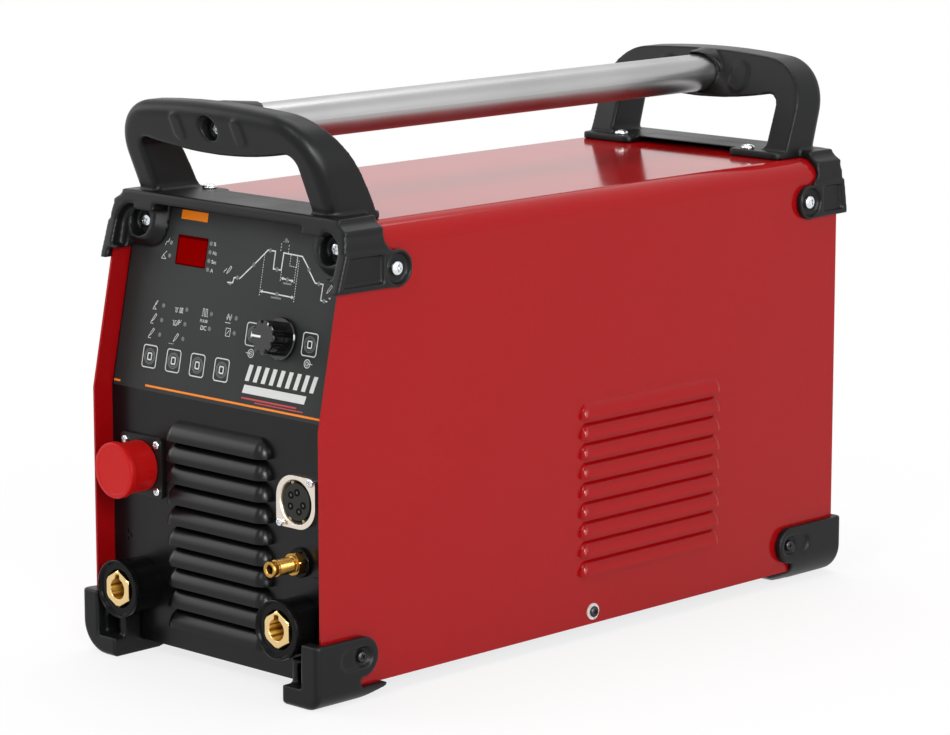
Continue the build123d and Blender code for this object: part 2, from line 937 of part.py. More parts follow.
# ---------------------------------------------------------------- connectors on the front
def make_remote_connector():
    """Square-flanged round connector: shell, insert and pins."""
    x, z = remote_place
    place = facing_front(x, panel_recess, z)
    body = tablet(place, remote_flange, remote_flange, 3.0, remote_flange_thickness, 0)
    top = remote_flange_thickness + remote_shell_length
    body += rod(place, remote_shell_radius, top, -panel_sheet - remote_tail)
    body -= rod(place, remote_shell_radius - remote_shell_wall, top + 1, remote_floor)
    for index in range(remote_pins):
        pin = place * Rot(0, 0, 360 * index / remote_pins) * Pos(remote_pin_circle, 0, 0)
        body += rod(pin, remote_pin_radius, top - remote_pin_setback, remote_floor)
    for seat in remote_screw_places():
        body -= drill(seat, m3_screw)
    return body


def make_dust_cap():
    """Push-on cap over the remote connector's shell."""
    x, z = remote_place
    base = remote_flange_thickness + cap_gap
    place = facing_front(x, panel_recess, z)
    cap = rod(place, cap_radius, base + cap_length - cap_rim_depth, base)
    disc = rod(Location(), cap_rim_radius, cap_rim_depth, 0)
    disc = fillet(disc.edges().group_by(Axis.Z)[-1], cap_rim_rounding)
    cap += place * Pos(0, 0, base + cap_length - cap_rim_depth) * disc
    return cap - rod(place, remote_shell_radius + cap_gap, base + cap_length - cap_wall, base - 1)


def trigger_outline():
    """Flange outline: two opposite corners wide round, the two screw corners tight."""
    plate = Rectangle(trigger_width, trigger_height)
    ears = [v for v in plate.vertices() if v.X * v.Y > 0]
    plate = fillet(ears, trigger_ear_corner)
    far = trigger_width / 2 + trigger_height / 2 - 1
    rounds = [v for v in plate.vertices() if v.X * v.Y < 0 and abs(v.X) + abs(v.Y) > far]
    return fillet(rounds, trigger_round_corner)


def make_trigger_flange():
    """Plated die-cast flange with its shell through the panel."""
    x, z = trigger_place
    place = facing_front(x, panel_recess, z)
    body = place * extrude(trigger_outline(), trigger_thickness)
    body += rod(place, trigger_shell_radius, trigger_thickness, -trigger_depth)
    body -= rod(place, trigger_bore_radius, trigger_thickness + 1, -trigger_depth - 1)
    for seat in trigger_screw_places():
        body -= drill(seat, m3_screw)
    return body


def make_trigger_insert():
    """Contact carrier with five sockets and its keyway."""
    x, z = trigger_place
    top = trigger_thickness - trigger_insert_recess
    place = facing_front(x, panel_recess, z)
    back = -trigger_depth - trigger_insert_tail
    body = rod(place, trigger_bore_radius - press_gap, top, back)
    for index in range(trigger_contacts):
        hole = place * Rot(0, 0, 90 + 360 * index / trigger_contacts) * Pos(trigger_contact_circle, 0, 0)
        body -= rod(hole, trigger_contact_radius, top + 1, top - trigger_contact_depth)
    key = Box(trigger_key_width, 2 * trigger_key_depth, -2 * back)
    return body - place * Pos(0, trigger_bore_radius, 0) * key


def make_outlet_boss():
    """Round plastic boss under the gas outlet."""
    place = facing_front(outlet_place[0], panel_recess, outlet_place[1])
    boss = rod(place, outlet_boss_radius, outlet_boss_height, 0)
    return boss - rod(place, outlet_thread_radius + seat_gap, outlet_boss_height + 1, -1)


def make_gas_outlet():
    """Brass outlet: hexagon, barrel, grooved nose, and a hose tail inside."""
    x, z = outlet_place
    place = facing_front(x, panel_recess, z)
    base = outlet_boss_height
    turned = place * Rot(0, 0, outlet_hex_turn)
    nut_end = -panel_sheet - lock_nut_height
    body = hex_rod(turned, outlet_hex, base + outlet_hex_height, base)
    body += rod(place, outlet_thread_radius, outlet_reach, -panel_sheet - outlet_thread_tail)
    groove = rod(place, outlet_thread_radius + 1, outlet_reach - outlet_nose_length / 2,
                 outlet_reach - outlet_nose_length)
    body -= groove - rod(place, outlet_nose_radius, outlet_reach, 0)
    body += hex_rod(turned, outlet_hex, -panel_sheet, nut_end)
    body += rod(place, hose_bore_radius - press_gap, nut_end, -panel_sheet - outlet_tail)
    return body - rod(place, outlet_bore_radius, outlet_reach + 1, -panel_sheet - outlet_tail - 1)


def socket_place(side):
    return facing_front(side * socket_spacing / 2, panel_recess, socket_height)


def make_socket_collar(side):
    """Insulating collar of a welding socket, with a spigot through the panel."""
    place = socket_place(side)
    rim = socket_reach - socket_rim_depth
    collar = rod(place, socket_body_radius, rim, 0) + rod(place, socket_radius, socket_reach, rim)
    collar += rod(place, socket_spigot_radius, 0, -panel_sheet - socket_spigot_length)
    collar -= rod(place, socket_radius - socket_rim_wall, socket_reach + 1,
                  socket_reach - socket_face_recess)
    hex_corner = insert_hex / 2 / cos(pi / 6)
    collar -= rod(place, hex_corner + seat_gap, socket_reach, socket_reach - insert_hex_depth)
    return collar - rod(place, insert_radius + seat_gap / 2, socket_reach,
                        -panel_sheet - socket_spigot_length - 1)


def make_socket_insert(side):
    """Brass insert: hexagonal face, keyed bore, stud behind for the lead."""
    place = socket_place(side)
    face = socket_reach - insert_setback
    tail = panel_recess - stud_y
    body = hex_rod(place * Rot(0, 0, insert_hex_turn), insert_hex, face, socket_reach - insert_hex_depth)
    body += rod(place, insert_radius, face, tail)
    body += rod(place, insert_stud_radius, tail, tail - insert_stud_length)
    body -= rod(place, insert_bore_radius, face + 1, face - insert_bore_depth)
    slot = Box(insert_slot_width, insert_slot_top, insert_bore_depth + 1)
    return body - place * Pos(0, insert_slot_top / 2, face - insert_bore_depth / 2 + 0.5) * slot


# ---------------------------------------------------------------- handle
def arch_window():
    """Hand opening between the legs: straight sides, crossbar sagging over it."""
    low = plate_top
    sides = window_half_width
    face = make_face(
        [
            Line((-sides, low), (-sides, window_side_top)),
            ThreePointArc((-sides, window_side_top), (0, window_crown), (sides, window_side_top)),
            Line((sides, window_side_top), (sides, low)),
            Line((sides, low), (-sides, low)),
        ]
    )
    upper = face.vertices().group_by(Axis.Y)[-1]
    face = fillet(upper, window_top_radius)
    return fillet(face.vertices().group_by(Axis.Y)[0], window_foot_radius)


def arch_front_view():
    """Arch seen from the front: legs, crowned crossbar and hand opening."""
    side_top = arch_top - arch_crown_drop
    low = plate_top - 1
    face = make_face(
        [
            Line((-arch_half_width, low), (-arch_half_width, side_top)),
            ThreePointArc((-arch_half_width, side_top), (0, arch_top), (arch_half_width, side_top)),
            Line((arch_half_width, side_top), (arch_half_width, low)),
            Line((arch_half_width, low), (-arch_half_width, low)),
        ]
    )
    return fillet(face.vertices().group_by(Axis.Y)[-1], arch_corner_radius) - arch_window()


def arch(outer, inner, lean, mid, crest):
    """Leaning arch: legs and crossbar, cut from its front view and its side view."""
    out = 1 if outer > inner else -1
    top_outer = outer + out * lean * (arch_top - plate_top)
    side_view = make_face(
        [
            Line((inner, plate_top - 1), (outer, plate_top - 1)),
            Line((outer, plate_top - 1), (top_outer, arch_top)),
            Line((top_outer, arch_top), (crest, arch_top)),
            ThreePointArc((crest, arch_top), mid, (inner, plate_top - 1)),
        ]
    )
    low, high = sorted((inner, top_outer))
    body = run_along_y(arch_front_view(), low, high) & run_across(side_view, arch_half_width + 1)
    for inner_loop, radius in ((False, arch_rim_radius), (True, arch_window_rim_radius)):
        face = body.faces().filter_by(GeomType.PLANE).sort_by(lambda f: out * f.normal_at().Y)[-1]
        wire = face.inner_wires()[0] if inner_loop else face.outer_wire()
        rims = [e for e in wire.edges() if e.bounding_box().max.Z > plate_top + 1]
        body = fillet(rims, radius)
    return body


def visor(facing, crest):
    """Tapered half collar over the tube's top, from the crossbar's crest along the tube."""
    collar = Cone(tube_radius + visor_end_wall, tube_radius + visor_wall, visor_length)
    collar = facing(0, crest, tube_height) * Pos(0, 0, -visor_length / 2) * collar
    upper = Pos(0, tube_height + tube_radius) * Rectangle(4 * tube_radius, 2 * tube_radius)
    return collar & over_length(upper)


def shoulder_section():
    """Outer outline of the brackets' shoulders across the machine."""
    return case_section(shoulder_half_width, skirt_bottom, plate_top, shoulder_fold_radius)


def over_length(section):
    """Section drawn in X and Z, run past both ends of the case."""
    return run_along_y(section, -cover_length, 2 * cover_length)


def bracket_wrap(shoulder_outline, plate_edges, tab_edges):
    """Shell over the cover's top corners: shoulders, plate and its two screw tabs."""
    inner = case_section(half_width + seat_gap, skirt_bottom - 1, cover_top + seat_gap,
                         cover_fold_radius + seat_gap)
    shell = over_length(shoulder_section() - inner) & run_across(shoulder_outline, bracket_half_width)
    y0, y1 = sorted(plate_edges)
    t0, t1 = sorted(tab_edges)
    under = cover_top - plate_middle_drop
    shell -= block((-plate_tab_inner, t0 - cover_length, under), (plate_tab_inner, y0, plate_top + 1))
    shell -= block((-plate_tab_inner, y1, under), (plate_tab_inner, t1 + cover_length, plate_top + 1))
    for side in (-1, 1):
        x = sorted((side * plate_tab_inner, side * (half_width - cover_fold_radius)))
        tab = RectangleRounded(x[1] - x[0], t1 - t0, plate_tab_corner)
        tab = Pos((x[0] + x[1]) / 2, (t0 + t1) / 2) * tab
        shell += Pos(0, 0, cover_top + seat_gap) * extrude(tab, plate_top - cover_top - seat_gap)
    return shell


def skirt(outline, boss_y):
    """Side flanges with a round screw boss, both sides."""
    wall = bracket_half_width - half_width - seat_gap
    middle = half_width + seat_gap + wall / 2
    sides = None
    for side in (-1, 1):
        flange = Pos(side * middle, 0, 0) * run_across(outline, wall / 2)
        flange += rod(facing_side(side, bracket_half_width, boss_y, boss_height), boss_radius, 0, -wall)
        sides = flange if sides is None else sides + flange
    return sides


def mirrored(one):
    """A right-hand form together with its left-hand twin."""
    return one + mirror(one, Plane.YZ)


def pad(place, bottom):
    """Pad on a panel's face in the right top corner, its inner and lower walls drafted."""
    reach = 2 * panel_half
    top = bottom + reach
    outline = polygon((pad_inner, bottom), (reach, bottom), (reach, top), (pad_inner, top))
    outline = fillet(outline.vertices().sort_by(Axis.X)[:2].sort_by(Axis.Y)[:1], pad_corner_radius)
    body = place * extrude(outline, pad_thickness - overlay_thickness - seat_gap, taper=pad_draft)
    return body & inside_cover()


def closure(outline, bridge):
    """Wall across the cover's end edge from skirt to skirt, tied to the pads inside it."""
    window = case_section(closure_inner, skirt_bottom - 1, inner_top - lip_drop,
                          cover_fold_radius - cover_sheet)
    window += Pos(0, skirt_bottom) * Rectangle(2 * closure_rim_inner, 2 * (pad_bottom - skirt_bottom))
    window += Pos(0, skirt_bottom) * Rectangle(2 * pad_inner, 2 * (inner_top - skirt_bottom))
    frame = over_length(shoulder_section() - window)
    wall = frame & run_across(outline, bracket_half_width)
    ties = frame & run_across(bridge, bracket_half_width)
    return wall + (ties & inside_cover())


def skirt_pockets(outline):
    """Shallow recess in the face of both skirts."""
    pocket = Pos(bracket_half_width, 0, 0) * run_across(outline, skirt_pocket)
    return mirrored(pocket)


def skirt_outline(skirt_edge, ledge_edge, boss_y):
    """YZ outline of a skirt from its outer edge to the middle of its boss."""
    reach = boss_radius - 0.5
    return polygon(
        (skirt_edge, skirt_bottom), (ledge_edge, ledge_height), (boss_y, boss_height + reach),
        (boss_y, boss_height - reach),
    )


def pocket_outline(skirt_edge, ledge_edge, boss_y):
    """YZ outline of the recess in a skirt, inside its rim and short of its boss."""
    inward = 1 if boss_y > skirt_edge else -1
    near_boss = boss_y - inward * (boss_radius + 1)
    low = skirt_bottom + skirt_rim
    high = ledge_height - skirt_rim
    return polygon(
        (skirt_edge + inward * 1.5 * skirt_rim, low), (ledge_edge + inward * skirt_rim, high),
        (near_boss, high), (near_boss, low),
    )


def end_edge(skirt_edge, ledge_edge, plate_edge):
    """The three corners of a bracket's outer end edge, from the skirt up to the plate."""
    return [(skirt_edge, skirt_bottom), (ledge_edge, ledge_height), (plate_edge, plate_top)]


def shoulder_outline(edge, inner_edge):
    """YZ outline of a shoulder, flared a little above the skirt."""
    inward = 1 if inner_edge > edge[0][0] else -1
    flare = inner_edge + inward * shoulder_flare
    return polygon(
        *edge, (inner_edge, plate_top), (inner_edge, ledge_height + shoulder_flare),
        (flare, ledge_height), (flare, skirt_bottom),
    )


def make_front_bracket():
    edge = end_edge(front_skirt_edge, front_ledge_edge, front_plate_edge)
    shoulder = shoulder_outline(edge, front_shoulder_edge)
    body = bracket_wrap(shoulder, (front_plate_edge, front_plate_mid_edge),
                        (front_plate_mid_edge - plate_tab_root, front_tab_edge))
    body += skirt(skirt_outline(front_skirt_edge, front_ledge_edge, front_boss_y), front_boss_y)
    body += arch(front_arch_outer, front_arch_inner, front_arch_lean, front_arch_mid, front_arch_crest)
    body += visor(facing_front, front_arch_crest)
    lip_low = front_edge(skirt_bottom) - seat_gap
    lip_high = front_edge(plate_top) - seat_gap
    pad_middle = pad_thickness / 2
    wall = polygon(*edge, (lip_high, plate_top), (lip_low, skirt_bottom))
    tie = polygon(
        (lip_low - 1, skirt_bottom), (panel_face_y(skirt_bottom) - pad_middle, skirt_bottom),
        (panel_face_y(plate_top) - pad_middle, plate_top), (lip_high - 1, plate_top),
    )
    body += closure(wall, tie)
    pad_v = (pad_bottom - panel_break_height) / cos(radians(panel_tilt))
    body += mirrored(pad(on_slope(0, 0, overlay_thickness + seat_gap), pad_v))
    body -= skirt_pockets(pocket_outline(front_skirt_edge, front_ledge_edge, front_boss_y))
    return body - bracket_holes(body_end=-1)


def make_rear_bracket():
    edge = end_edge(rear_skirt_edge, rear_ledge_edge, rear_plate_edge)
    shoulder = shoulder_outline(edge, rear_shoulder_edge)
    body = bracket_wrap(shoulder, (rear_plate_mid_edge, rear_plate_edge),
                        (rear_tab_edge, rear_plate_mid_edge + plate_tab_root))
    body += skirt(skirt_outline(rear_skirt_edge, rear_ledge_edge, rear_boss_y), rear_boss_y)
    body += arch(rear_arch_outer, rear_arch_inner, rear_arch_lean, rear_arch_mid, rear_arch_crest)
    body += visor(facing_rear, rear_arch_crest)
    lip = cover_length + seat_gap
    pad_middle = rear_face + pad_thickness / 2
    wall = polygon(*edge, (lip, plate_top), (lip, skirt_bottom))
    tie = polygon((pad_middle, skirt_bottom), (lip + 1, skirt_bottom), (lip + 1, plate_top),
                  (pad_middle, plate_top))
    body += closure(wall, tie)
    body += mirrored(pad(facing_rear(0, rear_face + overlay_thickness, 0), pad_bottom))
    body -= skirt_pockets(pocket_outline(rear_skirt_edge, rear_ledge_edge, rear_boss_y))
    return body - bracket_holes(body_end=1)


def bracket_holes(body_end):
    """Everything drilled in a bracket: tube socket, screw seats and cups."""
    front = body_end < 0
    facing = facing_front if front else facing_rear
    tube_end = front_tube_end if front else rear_tube_end
    holes = rod(facing(0, tube_end, tube_height), tube_radius + seat_gap / 2, 0, -4 * tube_radius)
    seat = tube_screw_places()[0 if front else 1]
    holes += rod(seat, tube_screw_recess, 2 * tube_radius, 0) + drill(seat, m5_screw)
    for place in front_cup_places() if front else rear_cup_places():
        holes += rod(place, cup_radius, 2 * cup_radius, 0) + drill(place, m5_screw)
    for place in plate_screw_places():
        holes += drill(place, m5_screw)
    for place in boss_screw_places():
        holes += drill(place, m5_screw) + rod(place, boss_recess_radius, boss_recess_depth + 1, 0)
    return holes


def tube_screw_places():
    """Seats of the two screws that hold the tube, in pockets of the crossbars."""
    return [
        facing_front(0, front_tube_end - tube_screw_depth, tube_height),
        facing_rear(0, rear_tube_end + tube_screw_depth, tube_height),
    ]


def make_carry_tube():
    """Aluminium tube with a threaded plug in each end."""
    ring = Pos(0, tube_height) * (Circle(tube_radius) - Circle(tube_radius - tube_wall))
    tube = run_along_y(ring, front_tube_end, rear_tube_end)
    plug = Pos(0, tube_height) * Circle(tube_radius - tube_wall)
    tube += run_along_y(plug, front_tube_end, front_tube_end + tube_plug_length)
    tube += run_along_y(plug, rear_tube_end - tube_plug_length, rear_tube_end)
    for place in tube_screw_places():
        tube -= drill(place, m5_screw)
    return tube


# ---------------------------------------------------------------- feet
def make_foot(side, end):
    """Corner foot: side flange with a round screw end, corner wall, toe with its screw, sole."""
    front = end < 0
    out = foot_front if front else foot_rear
    screw_y = foot_screw_front if front else foot_screw_rear
    lip = -seat_gap if front else cover_length + seat_gap
    face = panel_recess - seat_gap if front else rear_face + seat_gap
    inner = half_width + seat_gap
    sole_top = cover_bottom - seat_gap
    sole_end = out - end * foot_sole_length
    flange_top = foot_screw_height + foot_round_radius

    def slab(x0, x1, y0, y1, z0, z1):
        xs = sorted((side * x0, side * x1))
        ys = sorted((y0, y1))
        return block((xs[0], ys[0], z0), (xs[1], ys[1], z1))

    body = slab(foot_toe_inner, foot_side, out, lip, 0, foot_top)
    body += slab(foot_toe_inner, panel_half, lip, face, cover_bottom, foot_pad_top)
    body += slab(inner, foot_side, lip, screw_y, foot_screw_height - foot_round_radius, flange_top)
    screw_end = facing_side(side, foot_side, screw_y, foot_screw_height)
    body += rod(screw_end, foot_round_radius, 0, inner - foot_side)
    body += slab(inner, foot_side, lip, screw_y + end * foot_web_inset, 0, flange_top)
    tip = sole_end - end * foot_sole_ramp
    body += slab(foot_toe_inner, foot_side, out, tip, 0, sole_top)
    body -= slab(0, foot_wall_inner, out, lip, foot_toe_height, foot_top + 1)
    ramp = polygon((sole_end, -1), (sole_end, 0), (tip, foot_ramp_rise), (tip, -1))
    body -= run_across(ramp, 2 * foot_side)
    low = Pos(side * foot_side / 2, foot_top / 2) * Rectangle(foot_side, foot_top)
    corner = low.vertices().group_by(Axis.Y)[0].sort_by(Axis.X)[-1 if side > 0 else 0]
    radius = foot_wide_radius if side == end else foot_lower_radius
    body &= over_length(fillet(corner, radius))
    upright = [
        e for e in body.edges().filter_by(Axis.Z)
        if abs(abs(e.center().X) - foot_side) < 0.01 and abs(e.center().Y - out) < 0.01
    ]
    body = chamfer(upright, foot_corner_chamfer)
    slot = extrude(SlotOverall(foot_slot_length, foot_slot_height), foot_slot_depth + 1)
    for place in foot_screw_places():
        body -= drill(place, m4_screw)
    slot_y = screw_y + end * foot_slot_offset
    body -= facing_side(side, foot_side - foot_slot_depth, slot_y, foot_screw_height) * slot
    for place in toe_screw_places():
        body -= drill(place, m4_screw)
        body -= tablet(place, foot_cup_width, foot_cup_height, foot_cup_corner, foot_side, 0)
    return body


# ---------------------------------------------------------------- rear equipment
def fan_place():
    return facing_rear(0, rear_inner, fan_height)


def make_fan_frame():
    place = fan_place()
    frame = tablet(place, fan_size, fan_size, fan_corner, -seat_gap, -fan_depth)
    frame -= rod(place, fan_bore_radius, 1, -fan_depth - 1)
    frame += rod(place, fan_motor_radius, -fan_depth + fan_spider_depth, -fan_depth)
    for index in range(4):
        strut = Box(fan_bore_radius, fan_strut_width, fan_strut_depth)
        strut = Pos(fan_bore_radius / 2 + 4, 0, fan_strut_depth / 2 - fan_depth) * strut
        frame += place * Rot(0, 0, 45 + 90 * index) * strut
    frame -= rod(place, fan_shaft_radius + shaft_clearance, 1, -fan_depth + fan_bearing_floor)
    for seat in fan_screw_places():
        frame -= rod(seat, m4_screw[0] + screw_hole_gap, 1, -2 * fan_depth)
    return frame


def make_fan_rotor():
    """Hub with pitched blades and the shaft that runs in the frame's bearing."""
    place = fan_place()
    front = -rotor_front_gap
    back = -fan_depth + rotor_back_gap
    hub = rod(place, fan_hub_radius, front, back)
    hub += rod(place, fan_shaft_radius, front, -fan_depth + rotor_shaft_gap)
    span = fan_blade_radius - fan_hub_radius + 2 * blade_root
    blade = Rot(blade_pitch, 0, 0) * Box(span, blade_chord, blade_thickness)
    blade = Pos(fan_hub_radius - blade_root + span / 2, 0, (front + back) / 2) * blade
    blades = None
    for index in range(fan_blades):
        turned = place * Rot(0, 0, 360 * index / fan_blades) * blade
        blades = turned if blades is None else blades + turned
    return hub + (blades & rod(place, fan_blade_radius, front, back))


def make_fan_guard():
    """Finger guard: concentric rings on a cross of bars, with four screw eyes."""
    place = facing_rear(0, rear_face, fan_height)
    guard = None
    for index in range(guard_rings):
        radius = guard_first_ring + index * guard_ring_step
        ring = rod(place, radius + guard_wire / 2, guard_wire, 0)
        ring -= rod(place, radius - guard_wire / 2, guard_wire + 1, -1)
        guard = ring if guard is None else guard + ring
    reach = fan_hole_offset * 2**0.5
    bar = Pos(0, 0, guard_wire / 2) * Box(2 * reach, guard_bar_width, guard_wire)
    for angle in (45, 135):
        guard += place * Rot(0, 0, angle) * bar
    for seat in fan_screw_places():
        guard += rod(seat, guard_eye_radius, 0, -guard_wire)
    for seat in fan_screw_places():
        guard -= drill(seat, m4_screw)
    return guard


def make_switch_housing():
    """Snap-in housing of the mains switch, open at the rear for its rocker."""
    x, z = switch_place
    place = facing_rear(x, rear_face, z)
    body = tablet(place, switch_width, switch_height, switch_corner, switch_rim, 0)
    inner_w = switch_width - 2 * switch_bezel
    inner_h = switch_height - 2 * switch_bezel
    body += tablet(place, inner_w, inner_h, 1, 0, -switch_depth)
    body -= tablet(place, inner_w - 2 * switch_wall, inner_h - 2 * switch_wall, 0.6, switch_rim + 1,
                   switch_floor - switch_depth)
    pin = place * Pos(0, 0, -switch_pin_depth) * Rot(0, 90, 0)
    for half in (-1, 1):
        end = half * (inner_w / 2 - 0.5)
        low, high = sorted((end, end - half * switch_pin_length))
        body += rod(pin, switch_pin_radius, high, low)
    return body


def make_switch_rocker():
    """Rocker with its two faces in a shallow vee, hung on the housing's pins."""
    x, z = switch_place
    width = switch_width - 2 * switch_bezel - 2 * switch_wall - 2 * rocker_gap
    half = rocker_half_height
    outline = polygon(
        (-half, rocker_high), (0, rocker_middle), (half, rocker_low),
        (rocker_foot_half, rocker_foot), (-rocker_foot_half, rocker_foot),
    )
    rocker = extrude(Plane.YZ * outline, width / 2, both=True)
    bore = Cylinder(switch_pin_radius + shaft_clearance, width + 2)
    rocker -= Pos(0, 0, -switch_pin_depth) * Rot(0, 90, 0) * bore
    return facing_rear(x, rear_face, z) * rocker


def make_cord_gland():
    """Cable gland, empty: body, dome nut and the lock nut inside."""
    x, z = gland_place
    place = facing_rear(x, rear_face, z)
    body = hex_rod(place, gland_hex, gland_hex_height, 0)
    dome = Cylinder(gland_hex / 2 - 1, gland_reach - gland_hex_height)
    dome = chamfer(dome.edges().group_by(Axis.Z)[-1], gland_dome_chamfer)
    body += place * Pos(0, 0, (gland_reach + gland_hex_height) / 2) * dome
    body += rod(place, gland_thread_radius, 0, -rear_sheet - gland_tail)
    body += hex_rod(place, gland_hex, -rear_sheet, -rear_sheet - gland_nut)
    return body - rod(place, gland_bore_radius, gland_reach + 1, -rear_sheet - gland_tail - 1)


def make_gas_inlet():
    """Brass gas inlet with its hexagon outside and a hose tail inside."""
    x, z = inlet_place
    place = facing_rear(x, rear_face, z)
    body = hex_rod(place, inlet_hex, inlet_hex_height, 0)
    body += rod(place, inlet_radius, inlet_reach, -rear_sheet - inlet_thread_tail)
    body += hex_rod(place, inlet_hex, -rear_sheet, -rear_sheet - lock_nut_height)
    tail = rear_face - valve_place[1] - valve_half_depth - inlet_tail_gap
    body += rod(place, hose_bore_radius - press_gap, -rear_sheet - inlet_thread_tail, -tail)
    return body - rod(place, inlet_bore_radius, inlet_reach + 1, -tail - 1)


# ---------------------------------------------------------------- inside
def make_shelf():
    """Sheet that parts the air tunnel from the control side, on turned-down edges."""
    rear_end = rear_inner - panel_flange - 1
    reach = panel_half - shelf_inset
    shelf = block((-reach, shelf_front, shelf_height - shelf_sheet), (reach, rear_end, shelf_height))
    for side in (-1, 1):
        x = sorted((side * reach, side * (reach - shelf_sheet)))
        shelf += block((x[0], shelf_front, pan_top), (x[1], rear_end, shelf_height))
    x, y = valve_place
    return shelf - block(
        (x - shelf_opening, y - shelf_opening, shelf_height - 2 * shelf_sheet),
        (x + shelf_opening, rear_end + 1, shelf_height + shelf_sheet),
    )


def board_box():
    wide, deep = power_board_size
    return (-wide / 2, power_board_front), (wide / 2, power_board_front + deep)


def make_power_board():
    low, high = board_box()
    board = block((*low, power_board_height), (*high, power_board_height + board_thickness))
    for x in (low[0] + spacer_inset, high[0] - spacer_inset):
        for y in (low[1] + spacer_inset, high[1] - spacer_inset):
            board += rod(facing_up(x, y, 0), spacer_radius, power_board_height, pan_top)
    return board


def make_heat_sinks():
    """Two finned extrusions standing on the power board."""
    base_z = power_board_height + board_thickness
    y0 = power_board_front + heat_sink_start
    y1 = y0 + heat_sink_length
    sinks = []
    for side in (-1, 1):
        x = side * heat_sink_offset
        half = heat_sink_width / 2
        sink = block((x - half, y0, base_z), (x + half, y1, base_z + heat_sink_base))
        pitch = (heat_sink_width - heat_sink_fin) / (heat_sink_fins - 1)
        for fin in range(heat_sink_fins):
            left = x - half + fin * pitch
            sink += block((left, y0, base_z), (left + heat_sink_fin, y1, base_z + heat_sink_height))
        sinks.append(sink)
    return group(sinks)


def make_transformer():
    """Ferrite core with its winding, standing on the board between the heat sinks."""
    wide, deep, tall = transformer_size
    z = power_board_height + board_thickness
    y = power_board_front + transformer_start
    core = block((-wide / 2, y, z), (wide / 2, y + deep, z + tall))
    coil = Cylinder(wide / 2 - transformer_coil_inset, transformer_coil_length, rotation=(90, 0, 0))
    return core + Pos(0, y + deep / 2, z + tall / 2) * coil


def make_capacitors():
    z = power_board_height + board_thickness
    y = power_board_front + capacitor_start
    pitch = 2 * capacitor_radius + capacitor_gap
    return group(
        rod(facing_up(0, y + index * pitch, z), capacitor_radius, capacitor_height, 0)
        for index in range(2)
    )


def make_choke():
    """Toroidal output choke on a foot that stands on the pan."""
    axis = facing_front(0, choke_y, pan_top + choke_radius + choke_lift)
    ring = rod(axis, choke_radius, choke_depth / 2, -choke_depth / 2)
    ring -= rod(axis, choke_bore_radius, choke_depth, -choke_depth)
    foot = block(
        (-choke_foot_half, choke_y - choke_depth / 2, pan_top),
        (choke_foot_half, choke_y + choke_depth / 2, pan_top + choke_foot_height),
    )
    return ring + foot - rod(axis, choke_bore_radius, choke_depth, -choke_depth)


def make_bus_bars():
    """Copper bars from the socket studs back to the power board."""
    bars = []
    low = socket_height - bus_half_width
    high = socket_height + bus_half_width
    landing = power_board_front + bus_landing
    for side in (-1, 1):
        x = side * socket_spacing / 2
        near = x - side * bus_half_width
        x0, x1 = sorted((near, x + side * bus_half_width))
        bar = block((x0, stud_y, low), (x1, stud_y + bus_thickness, high))
        bar -= rod(socket_place(side), insert_stud_radius + seat_gap, 0, -2 * stud_y)
        x0, x1 = sorted((near, near + side * bus_thickness))
        run = block((x0, stud_y, low), (x1, landing, high))
        leg = block((x0, power_board_front, power_board_height + board_thickness), (x1, landing, high))
        bars.append(bar + run + leg)
    return group(bars)


def make_igniter():
    """High-frequency igniter block on the shelf."""
    wide, deep, tall = igniter_size
    place = facing_up(0, shelf_front + igniter_start, shelf_height)
    radius, rise = igniter_post
    return tablet(place, wide, deep, igniter_corner, tall, 0) + rod(place, radius, tall + rise, tall)


def valve_axis():
    return facing_up(valve_place[0], valve_place[1], valve_height)


def make_valve_body():
    """Solenoid valve: brass block with ports front and rear, held by a strap on the shelf side."""
    x, y = valve_place
    place = valve_axis()
    port = facing_front(x, y - valve_half_depth, valve_height)
    guide_bore = plunger_radius + shaft_clearance
    body = tablet(place, 2 * valve_half_width, 2 * valve_half_depth, 1,
                  valve_half_height, -valve_half_height)
    body += rod(place, valve_guide_radius, valve_guide_top, valve_half_height)
    body -= rod(place, guide_bore, valve_guide_top - valve_guide_end, valve_seat)
    body += block(
        (x - valve_half_width, y - valve_half_depth, shelf_height + 1),
        (x - valve_half_width + valve_strap, y + valve_half_depth, valve_height),
    )
    body += rod(port, hose_bore_radius - press_gap, valve_stub, 0)
    return body - rod(port, valve_port_radius, valve_stub + 1, -valve_port_end)


def make_valve_coil():
    """Coil round the valve's tube."""
    place = valve_axis()
    coil = tablet(place, 2 * valve_half_width, 2 * valve_half_depth, 2, coil_top,
                  valve_half_height + coil_lift)
    return coil - rod(place, valve_guide_radius + seat_gap / 2, valve_guide_top, 0)


def make_plunger():
    place = valve_axis()
    base = valve_seat + plunger_rest
    return rod(place, plunger_radius, base + plunger_length, base)


def make_hose():
    """Gas hose from the valve forward to the outlet's tail."""
    x, z = outlet_place
    start_y = valve_place[1] - valve_half_depth - valve_stub + hose_overlap
    end_y = panel_recess + panel_sheet + outlet_tail - hose_overlap
    points = [
        (valve_place[0], start_y, valve_height),
        (valve_place[0], start_y - hose_leave_run, valve_height),
        (hose_side_x, start_y - hose_cross_run, hose_side_z),
        (hose_side_x, hose_drop_start, hose_side_z),
        (hose_side_x, *hose_drop_middle),
        (x, hose_drop_end, z),
        (x, end_y, z),
    ]
    path = FilletPolyline(*points, radius=hose_bends)
    start = Plane(origin=path @ 0, z_dir=path % 0)
    tube = sweep(start * Circle(hose_bore_radius + hose_wall), path)
    bore = sweep(start * Circle(hose_bore_radius), path)
    return tube - bore


# ---------------------------------------------------------------- fasteners
def make_bracket_screws():
    places = plate_screw_places() + boss_screw_places() + front_cup_places() + rear_cup_places()
    return group(screw(place, m5_screw) for place in places + tube_screw_places())


